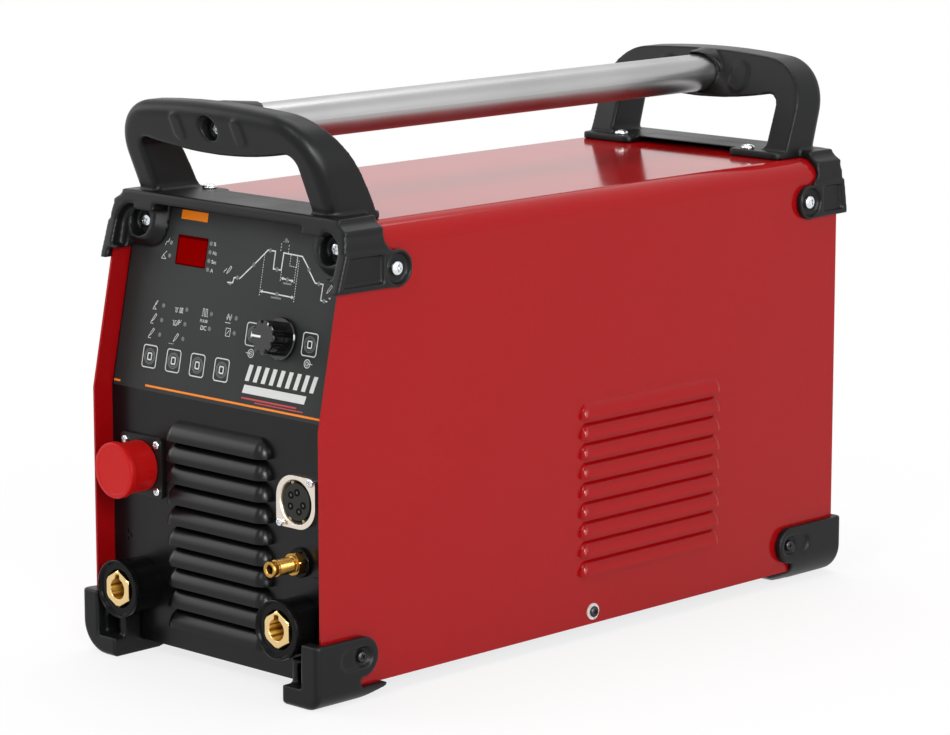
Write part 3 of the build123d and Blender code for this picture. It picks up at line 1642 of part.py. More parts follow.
def make_case_screws():
    places = foot_screw_places() + cover_screw_places() + toe_screw_places()
    return group(screw(place, m4_screw) for place in places)


def make_washers():
    washers = []
    for place in cover_screw_places():
        ring = rod(place, washer_radius, 0, -washer_thickness)
        washers.append(ring - rod(place, m4_screw[0] + screw_hole_gap, 1, -washer_thickness - 1))
    return group(washers)


def make_connector_screws():
    return group(screw(place, m3_screw) for place in remote_screw_places() + trigger_screw_places())


def make_fan_screws():
    return group(screw(place, m4_long_screw) for place in fan_screw_places())


# ---------------------------------------------------------------- nodes
def all_nodes():
    nodes = {
        "cover": make_cover(),
        "base_pan": make_base_pan(),
        "front_panel": make_front_panel(),
        "rear_panel": make_rear_panel(),
        "control_overlay": make_overlay(),
        "display_window": make_display_window(),
        "status_lamps": make_lamps(),
        "control_board": make_control_board(),
        "encoder_body": make_encoder_body(),
        "encoder_shaft": make_encoder_shaft(),
        "knob": make_knob(),
        "knob_pointer": make_knob_pointer(),
        "remote_connector": make_remote_connector(),
        "dust_cap": make_dust_cap(),
        "trigger_flange": make_trigger_flange(),
        "trigger_insert": make_trigger_insert(),
        "gas_outlet": make_gas_outlet(),
        "outlet_boss": make_outlet_boss(),
        "left_socket_collar": make_socket_collar(-1),
        "right_socket_collar": make_socket_collar(1),
        "left_socket_insert": make_socket_insert(-1),
        "right_socket_insert": make_socket_insert(1),
        "front_bracket": make_front_bracket(),
        "rear_bracket": make_rear_bracket(),
        "carry_tube": make_carry_tube(),
        "front_left_foot": make_foot(-1, -1),
        "front_right_foot": make_foot(1, -1),
        "rear_left_foot": make_foot(-1, 1),
        "rear_right_foot": make_foot(1, 1),
        "bracket_screws": make_bracket_screws(),
        "case_screws": make_case_screws(),
        "cover_washers": make_washers(),
        "connector_screws": make_connector_screws(),
        "fan_screws": make_fan_screws(),
        "fan_frame": make_fan_frame(),
        "fan_rotor": make_fan_rotor(),
        "fan_guard": make_fan_guard(),
        "switch_housing": make_switch_housing(),
        "switch_rocker": make_switch_rocker(),
        "cord_gland": make_cord_gland(),
        "gas_inlet": make_gas_inlet(),
        "shelf": make_shelf(),
        "power_board": make_power_board(),
        "heat_sinks": make_heat_sinks(),
        "transformer": make_transformer(),
        "capacitors": make_capacitors(),
        "output_choke": make_choke(),
        "bus_bars": make_bus_bars(),
        "igniter": make_igniter(),
        "valve_body": make_valve_body(),
        "valve_coil": make_valve_coil(),
        "valve_plunger": make_plunger(),
        "gas_hose": make_hose(),
    }
    for index in range(len(key_places)):
        nodes[f"key_{index + 1}"] = make_key(index)
    return nodes


def main():
    os.makedirs("parts", exist_ok=True)
    nodes = all_nodes()
    boxes = [node.bounding_box() for node in nodes.values()]
    low_y = min(box.min.Y for box in boxes)
    high_y = max(box.max.Y for box in boxes)
    shift = Location((0, -(low_y + high_y) / 2, 0))
    for name, node in nodes.items():
        export_step(settled(node, shift), f"parts/{name}.step")
    print("case frame y", low_y, high_y, "middle", (low_y + high_y) / 2)


main()
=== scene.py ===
import json
import math

import bmesh
import bpy
from mathutils import Matrix, Vector


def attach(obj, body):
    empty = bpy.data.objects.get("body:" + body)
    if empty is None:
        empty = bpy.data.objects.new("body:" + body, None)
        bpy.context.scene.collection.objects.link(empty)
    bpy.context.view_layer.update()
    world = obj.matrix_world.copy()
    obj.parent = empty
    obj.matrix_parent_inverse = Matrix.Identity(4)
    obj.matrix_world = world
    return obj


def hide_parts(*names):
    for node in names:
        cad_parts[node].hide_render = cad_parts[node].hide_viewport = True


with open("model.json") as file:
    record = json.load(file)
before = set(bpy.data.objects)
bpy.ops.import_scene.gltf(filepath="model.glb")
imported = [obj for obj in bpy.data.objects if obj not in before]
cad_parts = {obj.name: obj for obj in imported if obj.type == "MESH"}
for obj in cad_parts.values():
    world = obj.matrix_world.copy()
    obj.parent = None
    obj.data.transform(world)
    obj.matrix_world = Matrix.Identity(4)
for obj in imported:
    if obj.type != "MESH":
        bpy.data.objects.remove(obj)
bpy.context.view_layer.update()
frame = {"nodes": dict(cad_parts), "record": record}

# ------------------------------------------------------------------ frame and sizes
MM = 0.001
MIDDLE = 237.35          # case frame's Y of the row frame's origin, mm
TILT = math.radians(11.5)
BREAK = 166.3            # height of the panel's break line, mm
RECESS = 13.9            # front panel's face behind the cover's edge
FOIL = 0.6
REAR_FACE = 462.8
REMOTE_X, REMOTE_Z = -70.6, 119.7
TRIGGER_X, TRIGGER_Z = 68.4, 118.0
OUTLET_X, OUTLET_Z = 70.2, 81.5
SOCKET_X, SOCKET_Z = 72.0, 44.5
KNOB_U, KNOB_V = 46.5, 46.5


def P(x, y, z):
    """Case-frame millimetres to the row frame."""
    return Vector((x * MM, (y - MIDDLE) * MM, z * MM))


def polar(radius, angle):
    return radius * math.cos(angle), radius * math.sin(angle)


def spot(matrix, x, y, z):
    """Point given in a matrix's own millimetres."""
    return matrix @ Vector((x * MM, y * MM, z * MM))


def place(origin, x_axis, z_axis):
    """4x4 matrix with local X and Z along the given directions."""
    x = Vector(x_axis).normalized()
    z = Vector(z_axis).normalized()
    y = z.cross(x)
    m = Matrix((x, y, z)).transposed().to_4x4()
    m.translation = origin
    return m


def facing_front(x, y, z):
    return place(P(x, y, z), (1, 0, 0), (0, -1, 0))


def facing_rear(x, y, z):
    return place(P(x, y, z), (-1, 0, 0), (0, 1, 0))


def facing_side(side, x, y, z):
    return place(P(side * x, y, z), (0, side, 0), (side, 0, 0))


def on_slope(u, v, lift=0.0):
    y = RECESS + v * math.sin(TILT) - lift * math.cos(TILT)
    z = BREAK + v * math.cos(TILT) + lift * math.sin(TILT)
    return place(P(u, y, z), (1, 0, 0), (0, -math.cos(TILT), math.sin(TILT)))


# ------------------------------------------------------------------ materials
def new_material(name):
    m = bpy.data.materials.new(name)
    m.use_nodes = True
    nodes, links = m.node_tree.nodes, m.node_tree.links
    nodes.clear()
    out = nodes.new("ShaderNodeOutputMaterial")
    shader = nodes.new("ShaderNodeBsdfPrincipled")
    links.new(shader.outputs["BSDF"], out.inputs["Surface"])
    return m, nodes, links, shader


def reflection_streaked_material(name, dark, light, rough, metallic):
    """Metal with dark and light streaks running along y: painted reflection stripes of a threaded bore."""
    m, nodes, links, shader = new_material(name)
    shader.inputs["Metallic"].default_value = metallic
    shader.inputs["Roughness"].default_value = rough
    coords = nodes.new("ShaderNodeTexCoord")
    scale = nodes.new("ShaderNodeMapping")
    scale.inputs["Scale"].default_value = (1, 0.03, 1)
    links.new(coords.outputs["Object"], scale.inputs["Vector"])
    streaks = nodes.new("ShaderNodeTexNoise")
    streaks.inputs["Scale"].default_value = 420
    streaks.inputs["Detail"].default_value = 1
    links.new(scale.outputs["Vector"], streaks.inputs["Vector"])
    spread = nodes.new("ShaderNodeMapRange")
    spread.inputs["From Min"].default_value = 0.42
    spread.inputs["From Max"].default_value = 0.62
    links.new(streaks.outputs["Fac"], spread.inputs["Value"])
    tint = nodes.new("ShaderNodeMix")
    tint.data_type = "RGBA"
    tint.inputs[6].default_value = (*dark, 1)
    tint.inputs[7].default_value = (*light, 1)
    links.new(spread.outputs["Result"], tint.inputs["Factor"])
    links.new(tint.outputs[2], shader.inputs["Base Color"])
    return m


def finish_material(name, colour, rough, metallic=0.0, coat=0.0, coat_rough=0.1, grain=1500.0,
                    bump=0.0, bump_height=0.00005, rough_spread=0.06, shade=0.0, specular=0.5,
                    stretch=(1, 1, 1), round_edges=0.0):
    """Principled finish with noise in roughness, colour and bump, at the given grain."""
    m, nodes, links, shader = new_material(name)
    shader.inputs["Base Color"].default_value = (*colour, 1)
    shader.inputs["Metallic"].default_value = metallic
    shader.inputs["Coat Weight"].default_value = coat
    shader.inputs["Coat Roughness"].default_value = coat_rough
    shader.inputs["Specular IOR Level"].default_value = specular
    coords = nodes.new("ShaderNodeTexCoord")
    scale = nodes.new("ShaderNodeMapping")
    scale.inputs["Scale"].default_value = stretch
    links.new(coords.outputs["Object"], scale.inputs["Vector"])
    fine = nodes.new("ShaderNodeTexNoise")
    fine.inputs["Scale"].default_value = grain
    fine.inputs["Detail"].default_value = 3
    links.new(scale.outputs["Vector"], fine.inputs["Vector"])
    broad = nodes.new("ShaderNodeTexNoise")
    broad.inputs["Scale"].default_value = 14
    broad.inputs["Detail"].default_value = 4
    links.new(coords.outputs["Object"], broad.inputs["Vector"])
    spread = nodes.new("ShaderNodeMapRange")
    spread.inputs["From Min"].default_value = 0.3
    spread.inputs["From Max"].default_value = 0.7
    spread.inputs["To Min"].default_value = max(rough - rough_spread, 0.02)
    spread.inputs["To Max"].default_value = min(rough + rough_spread, 1.0)
    links.new(broad.outputs["Fac"], spread.inputs["Value"])
    links.new(spread.outputs["Result"], shader.inputs["Roughness"])
    if shade:
        tint = nodes.new("ShaderNodeMix")
        tint.data_type = "RGBA"
        dark = [c * (1 - shade) for c in colour]
        light = [min(c * (1 + shade), 1) for c in colour]
        tint.inputs[6].default_value = (*dark, 1)
        tint.inputs[7].default_value = (*light, 1)
        links.new(fine.outputs["Fac"], tint.inputs["Factor"])
        links.new(tint.outputs[2], shader.inputs["Base Color"])
    edges = None
    if round_edges:
        edges = nodes.new("ShaderNodeBevel")
        edges.samples = 6
        edges.inputs["Radius"].default_value = round_edges
        links.new(edges.outputs["Normal"], shader.inputs["Normal"])
    if bump:
        relief = nodes.new("ShaderNodeBump")
        relief.inputs["Strength"].default_value = bump
        relief.inputs["Distance"].default_value = bump_height
        links.new(fine.outputs["Fac"], relief.inputs["Height"])
        if edges:
            links.new(edges.outputs["Normal"], relief.inputs["Normal"])
        links.new(relief.outputs["Normal"], shader.inputs["Normal"])
    return m


FINISHES = {
    "red_paint": ((0.350, 0.0030, 0.0045), 0.11, dict(grain=420, bump=0.03, bump_height=0.00002,
        shade=0.03, specular=0.19, rough_spread=0.02)),
    "black_paint": ((0.0034, 0.0032, 0.0040), 0.33, dict(coat=0.30, coat_rough=0.26, grain=900, bump=0.06,
        bump_height=0.00002, shade=0.12, specular=0.08)),
    "panel_foil": ((0.0178, 0.0193, 0.0193), 0.46, dict(grain=2600, bump=0.25, bump_height=0.00002,
        shade=0.25, specular=0.2)),
    "display_lens": ((0.215, 0.0002, 0.0001), 0.30, dict(grain=300, shade=0.05, specular=0.0)),
    "lamp_plastic": ((0.13, 0.135, 0.135), 0.22, dict(grain=700, shade=0.1)),
    "key_plastic": ((0.0165, 0.0180, 0.0180), 0.48, dict(grain=2600, bump=0.25, bump_height=0.00002,
        shade=0.2, specular=0.2)),
    "knob_plastic": ((0.0025, 0.0025, 0.0028), 0.14, dict(coat=0.5, coat_rough=0.03, grain=700, shade=0.1,
        specular=0.4)),
    "pointer_white": ((0.80, 0.79, 0.74), 0.4, dict(grain=900, shade=0.04)),
    "cap_red": ((0.495, 0.0045, 0.0040), 0.42, dict(grain=1600, bump=0.3, bump_height=0.00004, shade=0.05,
        specular=0.18)),
    "moulded_black": ((0.0058, 0.0061, 0.0064), 0.38, dict(grain=2300, bump=0.40, shade=0.22,
        specular=0.18)),
    "socket_black": ((0.0045, 0.0045, 0.0048), 0.20, dict(grain=1100, bump=0.05, bump_height=0.00002,
        shade=0.1, specular=0.10)),
    "connector_black": ((0.0085, 0.0083, 0.0078), 0.42, dict(bump=0.2, shade=0.15, round_edges=0.0003,
        specular=0.25)),
    "nickel": ((0.74, 0.67, 0.59), 0.34, dict(metallic=1.0, grain=1900, bump=0.12, shade=0.06,
        round_edges=0.0003)),
    "brass_parts": ((0.78, 0.57, 0.27), 0.20, dict(metallic=1.0, grain=1200, bump=0.08, shade=0.08,
        round_edges=0.0003)),
    "tube_metal": ((0.39, 0.39, 0.39), 0.36, dict(metallic=1.0, grain=300, bump=0.10, bump_height=0.00003,
        stretch=(9, 0.25, 9), shade=0.05)),
    "zinc_steel": ((0.72, 0.74, 0.76), 0.20, dict(metallic=1.0, bump=0.06, shade=0.08,
        round_edges=0.0002)),
    "dark_screws": ((0.045, 0.045, 0.05), 0.34, dict(metallic=1.0, bump=0.06, shade=0.08,
        round_edges=0.0002)),
    "washer_white": ((0.74, 0.74, 0.72), 0.5, dict(grain=900, shade=0.04)),
    "fan_black": ((0.018, 0.018, 0.019), 0.42, dict(bump=0.2, shade=0.12, round_edges=0.0004)),
    "guard_steel": ((0.55, 0.56, 0.58), 0.26, dict(metallic=1.0, grain=900, bump=0.06, shade=0.06,
        round_edges=0.0006)),
    "switch_black": ((0.015, 0.015, 0.015), 0.3, dict(grain=1100, bump=0.1, shade=0.1,
        round_edges=0.0004)),
    "rocker_red": ((0.50, 0.012, 0.012), 0.28, dict(coat=0.3, grain=700, shade=0.05, round_edges=0.0004)),
    "gland_black": ((0.022, 0.022, 0.022), 0.45, dict(bump=0.2, shade=0.12, round_edges=0.0005)),
    "sheet_zinc": ((0.50, 0.52, 0.53), 0.42, dict(metallic=1.0, grain=60, shade=0.12)),
    "board_green": ((0.02, 0.12, 0.04), 0.4, dict(grain=900, shade=0.2)),
    "fin_aluminium": ((0.60, 0.61, 0.62), 0.36, dict(metallic=1.0, grain=400, stretch=(1, 0.1, 1),
        shade=0.08)),
    "core_grey": ((0.06, 0.06, 0.065), 0.6, dict(grain=900, bump=0.3, shade=0.2)),
    "can_black": ((0.02, 0.02, 0.03), 0.3, dict(grain=900, shade=0.1)),
    "bar_copper": ((0.72, 0.33, 0.18), 0.3, dict(metallic=1.0, grain=900, shade=0.1)),
    "coil_black": ((0.03, 0.03, 0.03), 0.45, dict(grain=900, bump=0.2, shade=0.15)),
    "plunger_steel": ((0.60, 0.60, 0.61), 0.25, dict(metallic=1.0, grain=900, shade=0.06)),
    "hose_rubber": ((0.018, 0.018, 0.018), 0.55, dict(bump=0.3, shade=0.15)),
    "print_white": ((0.62, 0.63, 0.62), 0.5, dict(grain=2600, shade=0.06)),
    "print_grey": ((0.17, 0.18, 0.18), 0.5, dict(grain=2600, shade=0.1)),
    "print_dark": ((0.012, 0.013, 0.013), 0.45, dict(grain=2600, shade=0.1)),
    "print_orange": ((0.82, 0.24, 0.03), 0.45, dict(grain=2600, shade=0.05, specular=0.1)),
    "print_red": ((0.45, 0.03, 0.04), 0.45, dict(grain=2600, shade=0.05)),
    # olive tint of the lining, darkened below the flange's nickel as painted shade inside the opening
    "shaded_shell_olive": ((0.34, 0.28, 0.18), 0.36, dict(metallic=0.85, shade=0.1)),
    "block_grey": ((0.017, 0.018, 0.015), 0.5, dict(grain=900, shade=0.2, specular=0.2)),
    # near-black finish for the rings round the contacts: painted shade of the contact holes
    "ring_shadow_black": ((0.0015, 0.0015, 0.0015), 0.6, dict(shade=0.1, specular=0.05)),
    "outlet_brass": ((0.44, 0.25, 0.06), 0.30, dict(metallic=1.0, grain=1200, bump=0.10, shade=0.10,
        round_edges=0.0003)),
    "display_edge": ((0.075, 0.0002, 0.0001), 0.4, dict(grain=900, shade=0.05, specular=0.0)),
    "contact_grey": ((0.05, 0.05, 0.045), 0.45, dict(bump=0.2, shade=0.15)),
    "sticker_orange": ((0.93, 0.26, 0.008), 0.42, dict(grain=2600, shade=0.05, specular=0.1)),
}
mats = {name: finish_material(name, colour, rough, **more)
        for name, (colour, rough, more) in FINISHES.items()}
# the bore's brown and gold streaks are painted reflections of its threads
mats["bore_gold"] = reflection_streaked_material("bore_gold", (0.26, 0.095, 0.006), (0.85, 0.52, 0.08), 0.42, 0.45)

slot_of = {entry["node"]: entry["material_slot"] for entry in frame["record"]["subparts"]}
for node, obj in frame["nodes"].items():
    material = mats[slot_of[node]]
    if obj.data.materials:
        for index in range(len(obj.data.materials)):
            obj.material_slots[index].material = material
    else:
        obj.data.materials.append(material)


# ------------------------------------------------------------------ mesh helpers
def piece(name, bm, material, body, stands_for=(), smooth_angle=35):
    """Object from a bmesh, placed in the row frame, riding on a body."""
    mesh = bpy.data.meshes.new(name)
    bmesh.ops.recalc_face_normals(bm, faces=bm.faces)
    bm.to_mesh(mesh)
    bm.free()
    obj = bpy.data.objects.new(name, mesh)
    bpy.context.scene.collection.objects.link(obj)
    mesh.materials.append(mats[material])
    shade(obj, smooth_angle)
    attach(obj, body)
    if stands_for:
        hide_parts(*stands_for)
    return obj


def shade(obj, angle):
    """Smooth shading with sharp edges above the angle."""
    mesh = obj.data
    bm = bmesh.new()
    bm.from_mesh(mesh)
    limit = math.radians(angle)
    for face in bm.faces:
        face.smooth = True
    for edge in bm.edges:
        edge.smooth = len(edge.link_faces) == 2 and edge.calc_face_angle(0) < limit
    bm.to_mesh(mesh)
    bm.free()


def add_lathe(bm, matrix, profile, segments=64):
    """Revolves (radius, height) points about the matrix's Z; a radius of 0 closes the end."""
    rings = []
    for radius, height in profile:
        if radius <= 0:
            rings.append([bm.verts.new(spot(matrix, 0, 0, height))])
            continue
        rings.append([bm.verts.new(spot(matrix, *polar(radius, 2 * math.pi * k / segments), height))
                      for k in range(segments)])
    for lower, upper in zip(rings, rings[1:]):
        for k in range(segments):
            n = (k + 1) % segments
            if len(lower) == 1 and len(upper) == 1:
                break
            if len(lower) == 1:
                bm.faces.new((lower[0], upper[k], upper[n]))
            elif len(upper) == 1:
                bm.faces.new((lower[k], lower[n], upper[0]))
            else:
                bm.faces.new((lower[k], lower[n], upper[n], upper[k]))


def add_slab(bm, matrix, outline, low, high, holes=()):
    """Extrudes a closed outline of (x, y) mm between two heights; optional hole of equal point count."""
    def ring(points, z):
        return [bm.verts.new(spot(matrix, x, y, z)) for x, y in points]

    bottom, top = ring(outline, low), ring(outline, high)
    count = len(outline)
    for k in range(count):
        n = (k + 1) % count
        bm.faces.new((bottom[k], bottom[n], top[n], top[k]))
    if not holes:
        bm.faces.new(top)
        bm.faces.new(bottom[::-1])
        return
    hole = holes[0]
    hole_bottom, hole_top = ring(hole, low), ring(hole, high)
    for k in range(count):
        n = (k + 1) % count
        bm.faces.new((hole_top[k], hole_top[n], hole_bottom[n], hole_bottom[k]))
        bm.faces.new((top[k], top[n], hole_top[n], hole_top[k]))
        bm.faces.new((bottom[n], bottom[k], hole_bottom[k], hole_bottom[n]))


def rounded_box(width, height, corner, steps=6):
    """Points of a rounded rectangle about the origin, counter-clockwise."""
    points = []
    for cx, cy, start in ((1, 1, 0), (-1, 1, 90), (-1, -1, 180), (1, -1, 270)):
        for k in range(steps + 1):
            x, y = polar(corner, math.radians(start + 90 * k / steps))
            points.append((cx * (width / 2 - corner) + x, cy * (height / 2 - corner) + y))
    return points


def circle(radius, count=32, cx=0.0, cy=0.0):
    spokes = [polar(radius, 2 * math.pi * k / count) for k in range(count)]
    return [(cx + x, cy + y) for x, y in spokes]


def add_line(bm, matrix, points, width, low, high):
    """Flat printed line along (x, y) points, mitred at its corners."""
    pts = [Vector(p) for p in points]
    left, right = [], []
    for i, p in enumerate(pts):
        before = (p - pts[i - 1]).normalized() if i else (pts[1] - p).normalized()
        after = (pts[i + 1] - p).normalized() if i < len(pts) - 1 else before
        tangent = before + after
        tangent = tangent.normalized() if tangent.length > 1e-6 else before
        normal = Vector((-tangent.y, tangent.x))
        spread = width / 2 / max(abs(normal.dot(Vector((-before.y, before.x)))), 0.4)
        left.append(p + normal * spread)
        right.append(p - normal * spread)
    for i in range(len(pts) - 1):
        quad = [left[i], right[i], right[i + 1], left[i + 1]]
        add_slab(bm, matrix, [(q.x, q.y) for q in quad], low, high)


PRINT_LOW = FOIL - 0.02
PRINT_HIGH = FOIL + 0.05
SLOPE = on_slope(0, 0, 0)


def print_piece(name, material, draw, body="case", high=PRINT_HIGH):
    bm = bmesh.new()
    draw(bm, high)
    return piece(name, bm, material, body)


def helper_solid(draw):
    """Closed solid used to carve or to build up a moulding; removed after use."""
    bm = bmesh.new()
    draw(bm)
    bmesh.ops.remove_doubles(bm, verts=bm.verts, dist=1e-7)
    bmesh.ops.recalc_face_normals(bm, faces=bm.faces)
    mesh = bpy.data.meshes.new("helper")
    bm.to_mesh(mesh)
    bm.free()
    obj = bpy.data.objects.new("helper", mesh)
    bpy.context.scene.collection.objects.link(obj)
    return obj


def softened(node, voxel, rounds, name, cuts=(), adds=(), body="case"):
    """Moulded copy of a CAD node: finer details carved and added, its edges rounded."""
    source = frame["nodes"][node]
    mesh = source.data.copy()
    bm = bmesh.new()
    bm.from_mesh(mesh)
    bmesh.ops.remove_doubles(bm, verts=bm.verts, dist=1e-6)
    bm.to_mesh(mesh)
    bm.free()
    obj = bpy.data.objects.new(name, mesh)
    bpy.context.scene.collection.objects.link(obj)
    helpers = []
    for operation, shapes in (("DIFFERENCE", cuts), ("UNION", adds)):
        for draw in shapes:
            helper = helper_solid(draw)
            helpers.append(helper)
            change = obj.modifiers.new("shape", "BOOLEAN")
            change.operation = operation
            change.solver = "EXACT"
            change.object = helper
    if voxel:
        remesh = obj.modifiers.new("voxels", "REMESH")
        remesh.mode = "VOXEL"
        remesh.voxel_size = voxel * MM
        remesh.use_smooth_shade = True
        smooth = obj.modifiers.new("round", "SMOOTH")
        smooth.factor = 0.5
        smooth.iterations = rounds
    bpy.context.view_layer.update()
    depsgraph = bpy.context.evaluated_depsgraph_get()
    done = bpy.data.meshes.new_from_object(obj.evaluated_get(depsgraph))
    obj.modifiers.clear()
    obj.data = done
    for helper in helpers:
        spent = helper.data
        bpy.data.objects.remove(helper)
        bpy.data.meshes.remove(spent)
    done.materials.clear()
    done.materials.append(mats[slot_of[node]])
    if voxel:
        for polygon in done.polygons:
            polygon.use_smooth = True
    else:
        shade(obj, 25)
    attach(obj, body)
    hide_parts(node)
    return obj


ARC_X, ARC_Z, ARC_R = 87.2, 271.6, 17.0      # fold of the brackets' shoulders
TUBE_Z = 334.0
BOSS_Z = 256.4
BOSS_Y = {"front": 61.5, "rear": 443.7}
CUP_WALL = 98.4
SIDE_SEAT = 102.9
SKIRT_POCKET = 103.7
TUBE_SEATS = {"front": 16.0, "rear": 467.5}
BRACKET_GRAIN, FOOT_GRAIN, ROUNDS = 0.95, 0.9, 5      # voxel sizes in mm, smoothing passes


def shoulder_rib(angle, y_low, y_high):
    """Shingle step along a shoulder, one on each side."""
    shape = [(-1.0, 15), (0.0, 15), (0.9, 8), (1.7, 2), (1.8, 0), (1.3, -2), (0.0, -4), (-1.0, -4)]

    def draw(bm):
        for side in (-1, 1):
            points = []
            for rise, turn in shape:
                x, z = polar(ARC_R + rise, math.radians(angle + turn))
                points.append((side * (ARC_X + x), ARC_Z + z))
            add_slab(bm, facing_front(0, y_high, 0), points[::side], 0, y_high - y_low)
    return draw


def side_prism(outline, low, high):
    """YZ outline run through both sides between two distances from the middle."""
    def draw(bm):
        for side in (-1, 1):
            points = [(side * y, z) for y, z in outline]
            add_slab(bm, facing_side(side, 0, 0, 0), points[::side], low, high)
    return draw


def side_cups(y):
    def draw(bm):
        for side in (-1, 1):
            add_lathe(bm, facing_side(side, SIDE_SEAT, y, BOSS_Z), [(0, 0), (9.4, 0), (9.4, 8), (0, 8)], 64)
    return draw


def tube_pocket(seat):
    def draw(bm):
        add_lathe(bm, seat, [(0, 0), (6.7, 0), (6.7, 7), (8.6, 10.5), (8.6, 30), (0, 30)], 64)
    return draw


def wall_relief(bm):
    """Takes the closure wall down to a thin rim beside the pads."""
    top, corner = 276.9, 12.0
    turn = [polar(corner, math.radians(9 * k)) for k in range(11)]
    turn = [(CUP_WALL - corner + x, top - corner + z) for x, z in turn]
    profile = [(84.0, 251.0), (CUP_WALL, 251.0)] + turn + [(84.0, top)]
    for side in (-1, 1):
        points = [(side * x, (z - BREAK) / math.cos(TILT)) for x, z in profile]
        add_slab(bm, on_slope(0, 0, 9.45), points[::side], 0, 30)


def visor_edge(outline):
    """Cuts the half collar over the tube on a slant."""
    def draw(bm):
        add_slab(bm, facing_side(1, 0, 0, 0), outline, -19, 19)
    return draw


def tablets(matrices, width, height, corner, rise):
    def draw(bm):
        for matrix in matrices:
            add_slab(bm, matrix, rounded_box(width, height, corner, 8), -2.5, rise)
    return draw


front_bar = [place(P(s * 27.0, 6.9, TUBE_Z), (1, 0, 0), (0, -1, -0.43)) for s in (-1, 1)]
rear_bar = [place(P(s * 32.5, 454.6, TUBE_Z - 1), (1, 0, 0), (0, -1, 0.34)) for s in (-1, 1)]
softened("front_bracket", BRACKET_GRAIN, ROUNDS, "front_bracket_moulded",
         [wall_relief, side_cups(BOSS_Y["front"]), tube_pocket(facing_front(0, TUBE_SEATS["front"], TUBE_Z)),
          side_prism([(15.5, 249.0), (49.1, 249.0), (49.1, 266.0), (21.0, 266.0)], SKIRT_POCKET, 110.0),
          visor_edge([(34.0, 333.4), (56.0, 333.4), (56.0, 355.0), (53.0, 353.0)])],
         [shoulder_rib(62, 21.7, 51.5), shoulder_rib(30, 20.4, 51.5),
          tablets(front_bar, 8.5, 17.0, 3.8, 0.9)])
softened("rear_bracket", BRACKET_GRAIN, ROUNDS, "rear_bracket_moulded",
         [side_cups(BOSS_Y["rear"]), tube_pocket(facing_rear(0, TUBE_SEATS["rear"], TUBE_Z)),
          side_prism([(456.1, 249.0), (477.0, 249.0), (475.0, 266.0), (456.1, 266.0)], SKIRT_POCKET, 110.0),
          visor_edge([(425.0, 333.4), (455.0, 333.4), (454.2, 341.5), (425.0, 341.5)]),
          visor_edge([(425.0, 341.0), (454.3, 341.0), (449.0, 347.4), (425.0, 347.4)]),
          visor_edge([(425.0, 346.9), (449.4, 346.9), (428.0, 353.0), (425.0, 355.0)])],
         [shoulder_rib(62, 453.5, 476.6), shoulder_rib(30, 453.5, 477.2),
          tablets(rear_bar, 14.0, 20.0, 6.8, 1.0)])


FOOT_SEAT, FOOT_Z = 103.7, 27.0
FOOT_SCREW_Y = {"front": 30.5, "rear": 427.5}
SIDE_FACE = 106.5
REAR_FOOT_CORNER = {"left": 10.0, "right": 20.0}


def foot_pocket(side, y):
    def draw(bm):
        add_lathe(bm, facing_side(side, FOOT_SEAT, y, FOOT_Z), [(0, 0), (5.9, 0), (5.9, 8), (0, 8)], 48)
    return draw


def sole_tip(side, corner):
    """Longer tapering sole, rounded along its outer edge."""
    turn = [polar(corner, math.radians(-90 + 6 * k)) for k in range(12)]
    arc = [(SIDE_FACE - corner + x, corner + z) for x, z in turn if corner + z < 8.0]

    def draw(bm):
        rings = []
        for y, floor in ((446, 0.3), (430, 0.6), (420, 2.8), (413, 5.6), (409.5, 7.7)):
            low = [(side * x, max(z + 0.3, floor)) for x, z in arc]
            points = [(side * 77, floor)] + low + [(low[-1][0], 8.2), (side * 77, 8.2)]
            rings.append([bm.verts.new(P(x, y, z)) for x, z in points])
        count = len(rings[0])
        for near, far in zip(rings, rings[1:]):
            for k in range(count):
                n = (k + 1) % count
                bm.faces.new((near[k], near[n], far[n], far[k]))
        bm.faces.new(rings[0])
        bm.faces.new(rings[-1][::-1])
    return draw


for side, word in ((-1, "left"), (1, "right")):
    softened(f"front_{word}_foot", FOOT_GRAIN, ROUNDS, f"front_{word}_foot_moulded",
             [foot_pocket(side, FOOT_SCREW_Y["front"])])
    softened(f"rear_{word}_foot", FOOT_GRAIN, ROUNDS, f"rear_{word}_foot_moulded",
             [foot_pocket(side, FOOT_SCREW_Y["rear"])], [sole_tip(side, REAR_FOOT_CORNER[word])])


def flange_opening(bm):
    profile = [(0, -1.6), (11.6, -1.6), (13.3, 2.0), (13.9, 2.61), (13.9, 6), (0, 6)]
    add_lathe(bm, facing_front(TRIGGER_X, RECESS, TRIGGER_Z), profile, 96)


def flange_spare_hole(bm):
    matrix = facing_front(TRIGGER_X - 8.2, RECESS, TRIGGER_Z - 13.3)
    add_lathe(bm, matrix, [(0, 0.1), (1.5, 0.1), (1.5, 4), (0, 4)], 32)


softened("trigger_flange", None, 0, "trigger_flange_carved", [flange_opening, flange_spare_hole])


